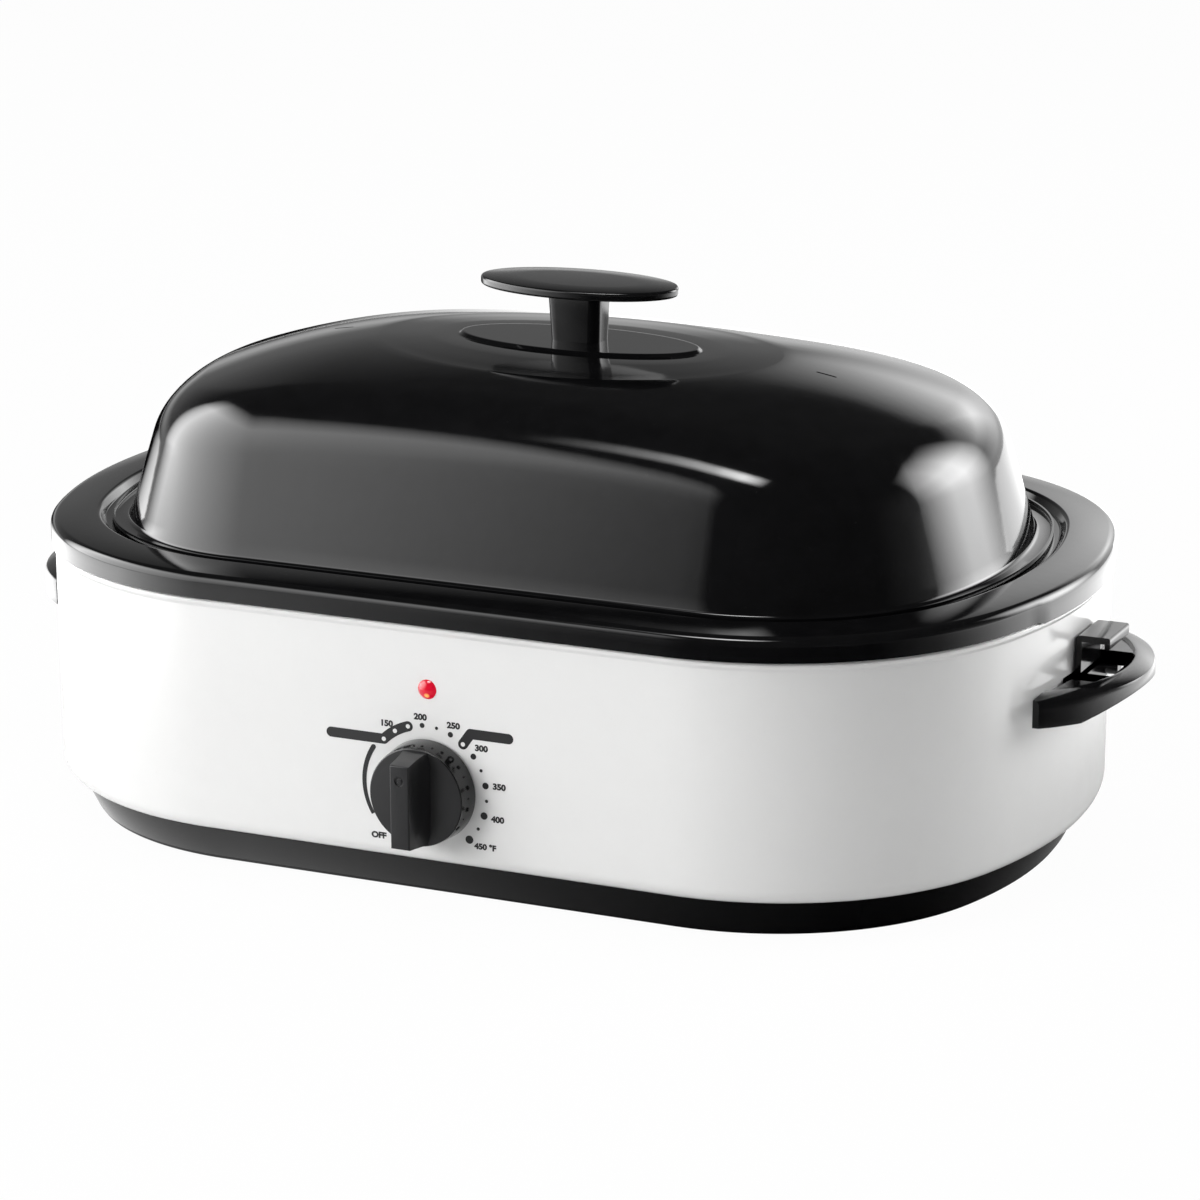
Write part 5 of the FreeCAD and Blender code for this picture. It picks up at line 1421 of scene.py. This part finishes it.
@dataclass
class DialPrint:
    """Printed scale round the knob: dots, two bands, a tapered arc and plain numbers."""

    centre: tuple[float, float] = (-1.0, 61.5)
    unit: float = 32.4
    ink: float = 0.10
    first: float = 135.1
    pitch: float = -13.86
    digit: float = 3.35
    spread: float = 1.1
    sweep: tuple[float, float] = (146.7, 211.0)
    sweep_widths: tuple[float, float] = (0.04, 0.03)
    sweep_aside: float = -0.05
    band_half: float = 0.08
    warm_end: float = -1.60
    thaw_bend: tuple[float, float] = (0.743, 0.965)
    thaw_end: tuple[float, float] = (1.37, 0.965)
    small_dot: float = 0.026
    bare_dot: float = 0.035
    weight: float = 0.05
    big: dict[int, float] = field(default_factory=lambda: {
        3: 0.040, 5: 0.043, 7: 0.047, 9: 0.052, 11: 0.058, 13: 0.065})
    small: tuple[int, ...] = (4, 8, 10, 12)
    bare: tuple[int, ...] = (0, 1, 2, 6)
    numbers: tuple[tuple[str, float, float], ...] = (
        ("150", -0.66, 0.96), ("200", -0.09, 1.13), ("250", 0.46, 1.06), ("300", 0.92, 0.76),
        ("350", 1.21, 0.19), ("400", 1.18, -0.33), ("450 °F", 0.97, -0.79), ("OFF", -0.82, -0.84))

    def spot(self, index: float) -> tuple[float, float]:
        """Where one dot of the scale lies, in units of the dial."""
        angle = math.radians(self.first + self.pitch * index)
        return math.cos(angle), math.sin(angle)

    def dot(self, x: float, z: float, radius: float, lift: float = 0.0) -> BMesh:
        """A round dot of ink."""
        unit = self.unit
        form = disc(radius * unit, 0.0, self.ink + lift, 28)
        return moved(form, Matrix.Translation((x * unit, z * unit, 0)))

    def bar(self, start: tuple[float, float], end: tuple[float, float], half: float) -> BMesh:
        """A straight bar of ink between two points, square at its ends."""
        first, last = Vector(start), Vector(end)
        way = (last - first).normalized()
        across = Vector((-way.y, way.x)) * half
        corners = [first + across, first - across, last - across, last + across]
        return slab([(c.x * self.unit, c.y * self.unit) for c in corners], 0.0, self.ink)

    def arc(self, start: float, end: float, radius: float, widths: tuple[float, float],
            steps: int = 40) -> BMesh:
        """An arc of ink whose half width runs from one value to another.

        Args:
            start: its first angle in degrees.
            end: its last angle in degrees.
            radius: the arc's radius in units of the dial.
            widths: half width at the start and at the end.
            steps: how many lengths it has.

        Returns:
            The arc as a thin solid.
        """
        unit = self.unit
        form = bmesh.new()
        inner = form.verts.new(((radius - 1e-3) * unit, 0, 0))
        outer = form.verts.new(((radius + 1e-3) * unit, 0, 0))
        edge = form.edges.new((inner, outer))
        bmesh.ops.rotate(form, verts=form.verts, cent=(0, 0, 0),
                         matrix=Matrix.Rotation(math.radians(start), 3, "Z"))
        bmesh.ops.spin(form, geom=[inner, outer, edge], cent=(0, 0, 0), axis=(0, 0, 1),
                       angle=math.radians(end - start), steps=steps, use_merge=False,
                       use_duplicate=False)
        for vert in form.verts:
            angle = math.degrees(math.atan2(vert.co.y, vert.co.x))
            share = (angle - start) * math.copysign(1, end - start) % 360 / abs(end - start)
            share = min(share, 1.0) if share < 1.5 else 0.0
            half = widths[0] + (widths[1] - widths[0]) * share
            side = 1 if vert.co.length > radius * unit else -1
            vert.co = vert.co.normalized() * (radius + side * half) * unit
        return pulled(form, (0, 0, self.ink))

    def number(self, text: str, x: float, z: float) -> BMesh:
        """One label, drawn to the height of the scale's digits."""
        curve = bpy.data.curves.new("label", "FONT")
        curve.body = text
        curve.align_x = curve.align_y = "CENTER"
        curve.size = 1.0
        curve.offset = self.weight
        curve.extrude = 0.02
        curve.resolution_u = 6
        holder = placed("label", curve)
        bpy.context.view_layer.update()
        shown = holder.evaluated_get(bpy.context.evaluated_depsgraph_get())
        mesh = bpy.data.meshes.new_from_object(shown)
        form = bmesh.new()
        form.from_mesh(mesh)
        thick = 2 * curve.extrude
        bpy.data.objects.remove(holder)
        bpy.data.curves.remove(curve)
        bpy.data.meshes.remove(mesh)
        bmesh.ops.remove_doubles(form, verts=form.verts, dist=1e-5)
        heights = [v.co.y for v in form.verts]
        middle = (max(heights) + min(heights)) / 2
        size = self.digit / (max(heights) - min(heights))
        place = Matrix.Translation((x * self.unit, z * self.unit, self.ink / 2))
        scale = Matrix.Diagonal((size * self.spread, size, self.ink / thick, 1))
        return moved(form, place @ scale @ Matrix.Translation((0, -middle, 0)))

    def dark_forms(self) -> list[BMesh]:
        """Every dark shape except the numbers."""
        dots = [*self.big.items(), *((index, self.small_dot) for index in self.small)]
        forms = [self.dot(*self.spot(index), radius) for index, radius in dots]
        half = self.band_half
        corner, last = self.spot(0), self.spot(2)
        warm = carved(self.dot(self.warm_end, corner[1], half),
                      self.bar((self.warm_end, corner[1]), corner, half), self.dot(*corner, half),
                      self.arc(self.first, self.first + 2 * self.pitch, 1.0, (half, half)),
                      self.dot(*last, half), how=Merge.JOIN)
        low, bend, far = self.spot(6), self.thaw_bend, self.thaw_end
        thaw = carved(self.dot(*low, half), self.bar(low, bend, half), self.dot(*bend, half),
                      self.bar(bend, far, half), self.dot(*far, half), how=Merge.JOIN)
        start = math.radians(self.sweep[0])
        sweep = carved(self.arc(*self.sweep, 1.0, self.sweep_widths),
                       self.dot(math.cos(start), math.sin(start), self.sweep_widths[0]),
                       how=Merge.JOIN)
        aside = (self.sweep_aside * self.unit, 0.3, 0)
        return forms + [warm, thaw, moved(sweep, Matrix.Translation(aside))]

    def build(self) -> None:
        """Print the scale on the front wall."""
        across, up = self.centre
        way = Matrix.Translation((across, 0, 0)) @ on_front(up, FRONT_Y - 0.02)
        bare = [self.dot(*self.spot(index), self.bare_dot, 0.04) for index in self.bare]
        labels = [self.number(*label) for label in self.numbers]
        for name, forms, look in (("dial_marks", self.dark_forms(), Look.DIAL_INK),
                                  ("dial_bare_dots", bare, Look.BARE_INK),
                                  ("dial_numbers", labels, Look.DIAL_INK)):
            piece(moved(gathered(forms), way), name, look, "roaster_body", sharp=30)


# ---------------------------------------------------------------- inner pieces

CARRIED_OVER: dict[str, Look] = {
    "heat_well": Look.BRIGHT_STEEL, "heating_band": Look.HEATER_STRIP, "band_bolts": Look.ZINC_STEEL,
    "insulation": Look.GLASS_FIBRE, "heat_shield": Look.BRIGHT_STEEL, "feet": Look.FOOT_RUBBER,
    "base_screws": Look.ZINC_STEEL, "base_nuts": Look.ZINC_STEEL, "roasting_rack": Look.CHROMED_WIRE,
    "lid_handle_washer": Look.ZINC_STEEL, "lid_handle_screw": Look.ZINC_STEEL,
    "handle_screws": Look.ZINC_STEEL, "thermostat": Look.SWITCH_MOULDING,
    "dial_screws": Look.ZINC_STEEL, "thermostat_shaft": Look.ZINC_STEEL,
    "neon_lamp": Look.LAMP_GLASS, "lamp_retainer": Look.ZINC_STEEL, "cord_gland": Look.FOOT_RUBBER,
    "terminal_block": Look.CERAMIC,
}


def dress_carried_over() -> None:
    """Give each CAD node that stays its finish."""
    for name, look in CARRIED_OVER.items():
        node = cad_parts[name]
        node.data.materials.clear()
        node.data.materials.append(look.value.material())
        LOG.info("node  %-18s %s", name, look.value.name)


# ---------------------------------------------------------------- studio

def towards(bearing: float, elevation: float) -> Vector:
    """The way from the roaster to a place, by its bearing from the front and its height."""
    side, rise = math.radians(bearing), math.radians(elevation)
    return Vector((math.sin(side) * math.cos(rise), -math.cos(side) * math.cos(rise),
                   math.sin(rise)))


def hang(name: str, form: BMesh, paint: Callable[[Web], Knot], only_mirrored: bool = False) -> None:
    """Add a sheet to the studio.

    Args:
        name: its name.
        form: its shape in metres.
        paint: builds its shader.
        only_mirrored: whether only mirror reflections see it.
    """
    mesh = meshed(form, name)
    cover = bpy.data.materials.new(name)
    web = Web(cover)
    web.node("ShaderNodeOutputMaterial", {"Surface": paint(web)})
    mesh.materials.append(cover)
    sheet = placed(name, mesh)
    if only_mirrored:
        mesh.shade_smooth()
        for kind in ("camera", "diffuse", "transmission", "shadow"):
            setattr(sheet, f"visible_{kind}", False)


@dataclass(frozen=True)
class Softbox:
    """A soft lamp aimed at the roaster, placed by its bearing from the front and its height."""

    name: str
    bearing: float
    elevation: float
    distance: float
    width: float
    height: float
    radiance: float
    soft: float = 0.3
    mirrored: bool = True
    lights: bool = True
    tilt: float = 0.0

    def build(self) -> None:
        """Hang the lamp."""
        lamp = bpy.data.lights.new(self.name, "AREA")
        lamp.shape = "RECTANGLE"
        lamp.size = self.width
        lamp.size_y = self.height
        lamp.energy = self.radiance * math.pi * self.width * self.height
        out = towards(self.bearing, self.elevation)
        target = Vector((0.0, MIDDLE_Y, 0.13))
        holder = placed(self.name, lamp)
        holder.location = target + out * self.distance
        holder.rotation_euler = (-out).to_track_quat("-Z", "Y").to_euler()
        holder.visible_glossy = self.mirrored
        holder.visible_diffuse = self.lights
        if self.soft > 0:
            self.soften(lamp)
        LOG.info("lamp  %s", self.name)

    def soften(self, lamp: bpy.types.Light) -> None:
        """Fade the lamp towards its edges."""
        web = Web(lamp)
        place = web.node("ShaderNodeNewGeometry").out("Parametric")
        parts = web.node("ShaderNodeSeparateXYZ", {0: place})
        fade: Value | None = None
        for axis in ("X", "Y"):
            side = parts.value(axis)
            edges = 1 - side.above(1 - self.soft / 2, self.soft)
            rise = side.above(self.soft / 2, self.soft) * edges
            fade = rise if fade is None else fade * rise
        if self.tilt:
            dim_side = 1 - parts.value("X") if self.tilt > 0 else parts.value("X")
            fade = fade * (1 - dim_side * abs(self.tilt))
        web.node("ShaderNodeOutputLight", {"Surface": web.light(fade)})


@dataclass
class Studio:
    """Pale floor, soft lamps, an even surround and the camera."""

    bearing: float = 24.3485
    elevation: float = 18.3748
    roll: float = -0.1756
    distance: float = 2371.86
    target: tuple[float, float, float] = (0.0, 12.8, 3.0)
    target_pixel: tuple[float, float] = (581.0687, 796.3409)
    focal_pixels: float = 4500.0
    frame_pixels: float = 1200.0
    floor_radius: float = 6.0
    floor_tone: float = 0.92
    floor_glow: float = 0.97
    room_light: float = 0.08
    tent_radius: float = 5.0
    tent_glow: float = 0.04
    table_radius: float = 4.0
    sensor: float = 36.0

    def camera(self) -> None:
        """Set the camera at its viewing angle."""
        side, roll = math.radians(self.bearing), math.radians(self.roll)
        back = towards(self.bearing, self.elevation)
        right = Vector((math.cos(side), math.sin(side), 0.0))
        above = back.cross(right)
        across = right * math.cos(roll) + above * math.sin(roll)
        upright = above * math.cos(roll) - right * math.sin(roll)
        lens = bpy.data.cameras.new("camera")
        lens.sensor_fit = "HORIZONTAL"
        lens.sensor_width = self.sensor
        lens.lens = self.focal_pixels / self.frame_pixels * self.sensor
        half = self.frame_pixels / 2
        lens.shift_x = (half - self.target_pixel[0]) / self.frame_pixels
        lens.shift_y = (self.target_pixel[1] - half) / self.frame_pixels
        lens.clip_end = 50.0
        holder = placed("camera", lens)
        place = Matrix((across, upright, back)).transposed().to_4x4()
        place.translation = (Vector(self.target) + back * self.distance) * MILLIMETRE
        holder.matrix_world = place
        bpy.context.scene.camera = holder

    def floor(self) -> None:
        """Lay the pale floor, which keeps the roaster's shadow."""
        form = bmesh.new()
        bmesh.ops.create_circle(form, cap_ends=True, segments=96, radius=self.floor_radius)

        def paint(web: Web) -> Knot:
            lit = web.node("ShaderNodeBsdfDiffuse", {"Color": (*[self.floor_tone] * 3, 1)})
            mix = {0: web.seen() * self.floor_glow, 1: lit, 2: web.light(1.0)}
            return web.node("ShaderNodeMixShader", mix)

        hang("floor", form, paint)

    def surround(self) -> None:
        """Light the room: white where it is seen or mirrored, an even dim grey for the rest."""
        world = bpy.data.worlds.new("surround")
        bpy.context.scene.world = world
        web = Web(world)
        seen = web.seen()
        strength = self.room_light * (1 - seen) + seen
        back = web.node("ShaderNodeBackground", {"Color": (1, 1, 1, 1), "Strength": strength})
        web.node("ShaderNodeOutputWorld", {"Surface": back})

    def flag(self, name: str, form: BMesh, cover: Callable[[Knot, Value], tuple]) -> None:
        """Hang a dark cloth or a lit card that only mirror reflections see.

        Args:
            name: its name.
            form: its shape in metres.
            cover: gives how much it hides and how much it glows at a point, from the point's
                direction and its distance from the middle.
        """
        def paint(web: Web) -> Knot:
            place = web.place()
            way = web.node("ShaderNodeVectorMath", {0: place}, operation="NORMALIZE")
            far = web.node("ShaderNodeVectorMath", {0: place}, operation="LENGTH").value("Value")
            hidden, glow = cover(web.node("ShaderNodeSeparateXYZ", {0: way}), far)
            clear = web.node("ShaderNodeBsdfTransparent")
            return web.node("ShaderNodeMixShader", {0: hidden, 1: clear, 2: web.light(glow)})

        hang(name, form, paint, only_mirrored=True)

    def flags(self) -> None:
        """Keep the white room out of the enamel's front, and let the table shine at its ends."""
        dome = bmesh.new()
        bmesh.ops.create_uvsphere(dome, u_segments=64, v_segments=32, radius=self.tent_radius)

        def tent(parts: Knot, far: Value) -> tuple:
            rise, back = parts.value("Z"), parts.value("Y")
            horizon = (1 - rise.above(0.13, 0.12)) * 0.75
            haze = (1 - rise.above(0.4, 0.3)) * 0.25
            left_dark = facing(parts, 224).above(0.93, 0.1) * (1 - rise.above(0.06, 0.1))
            hidden = 1 - (horizon + haze) * back.above(0.2, 0.6) * (1 - left_dark)
            return hidden, self.tent_glow

        def facing(parts: Knot, bearing: float) -> Value:
            side = math.radians(bearing)
            return parts.value("X") * math.sin(side) - parts.value("Y") * math.cos(side)

        self.flag("dark_tent", dome, tent)
        table = bmesh.new()
        bmesh.ops.create_circle(table, cap_ends=True, segments=64, radius=self.table_radius)
        bmesh.ops.translate(table, verts=table.verts, vec=(0, 0, 0.0006))

        def cloth(parts: Knot, far: Value) -> tuple:
            away = far.above(0.5, 0.3)
            near_dark = facing(parts, 60).above(0.45, 1.1) * (1 - away)
            left_dark = facing(parts, 224).above(0.93, 0.1)
            far_dark = facing(parts, 30).above(0.4, 0.9).largest(left_dark)
            left = facing(parts, -100).above(0.35, 0.9) * 4.0
            right = facing(parts, 132).above(0.82, 0.4) * 2.8
            shine = (1 + left + right) * (1 - far_dark)
            return near_dark.largest(away), shine * away

        self.flag("table_sheen", table, cloth)

    def build(self) -> None:
        """Set up the whole studio."""
        bpy.context.scene.view_settings.view_transform = "Standard"
        self.camera()
        self.floor()
        self.surround()
        self.flags()
        boxes = (
            Softbox("key_mirror", -62.0, 24.0, 2.2, 4.5, 2.4, 9.6, 0.2, lights=False, tilt=-0.94),
            Softbox("right_mirror", 138.0, 17.0, 3.0, 2.2, 2.6, 10.0, 0.4, lights=False),
            Softbox("back_mirror", 176.0, 16.0, 3.0, 2.4, 1.6, 3.6, 0.5, lights=False),
            Softbox("strip_mirror", -10.0, 63.0, 2.6, 1.6, 0.7, 26.0, 0.35, lights=False, tilt=0.8),
            Softbox("key_box", -47.0, 17.0, 3.0, 3.9, 1.6, 2.2, 0.27, mirrored=False),
            Softbox("rear_left_box", -116.0, 14.0, 3.0, 1.6, 1.2, 3.6, 0.35, mirrored=False),
            Softbox("rear_right_box", 134.0, 15.0, 3.0, 2.2, 1.4, 10.0, 0.35, mirrored=False),
            Softbox("overhead_strip", -14.0, 60.0, 2.6, 1.2, 0.55, 11.0, 0.4, mirrored=False),
            Softbox("front_fill", -38.0, 22.0, 3.2, 2.4, 1.8, 4.6, 0.0, mirrored=False),
            Softbox("right_fill", 112.0, 22.0, 3.2, 1.6, 1.6, 2.6, 0.0, mirrored=False),
            Softbox("top_fill", 0.0, 88.0, 3.0, 3.0, 3.0, 0.6, 0.0, mirrored=False),
        )
        for box in boxes:
            box.build()


# ---------------------------------------------------------------- assembly


def main() -> None:
    """Build and dress the roaster, then its studio."""
    logging.basicConfig(level=logging.INFO, format="%(message)s")
    Studio().build()
    dress_carried_over()
    for assembly in (WhiteBody(), Base(), Pan(), Lid(), LidGrip(), SideHandle(), Knob(),
                     LampLens(), DialPrint()):
        LOG.info("build %s", type(assembly).__name__)
        assembly.build()


if __name__ == "__main__":
    main()
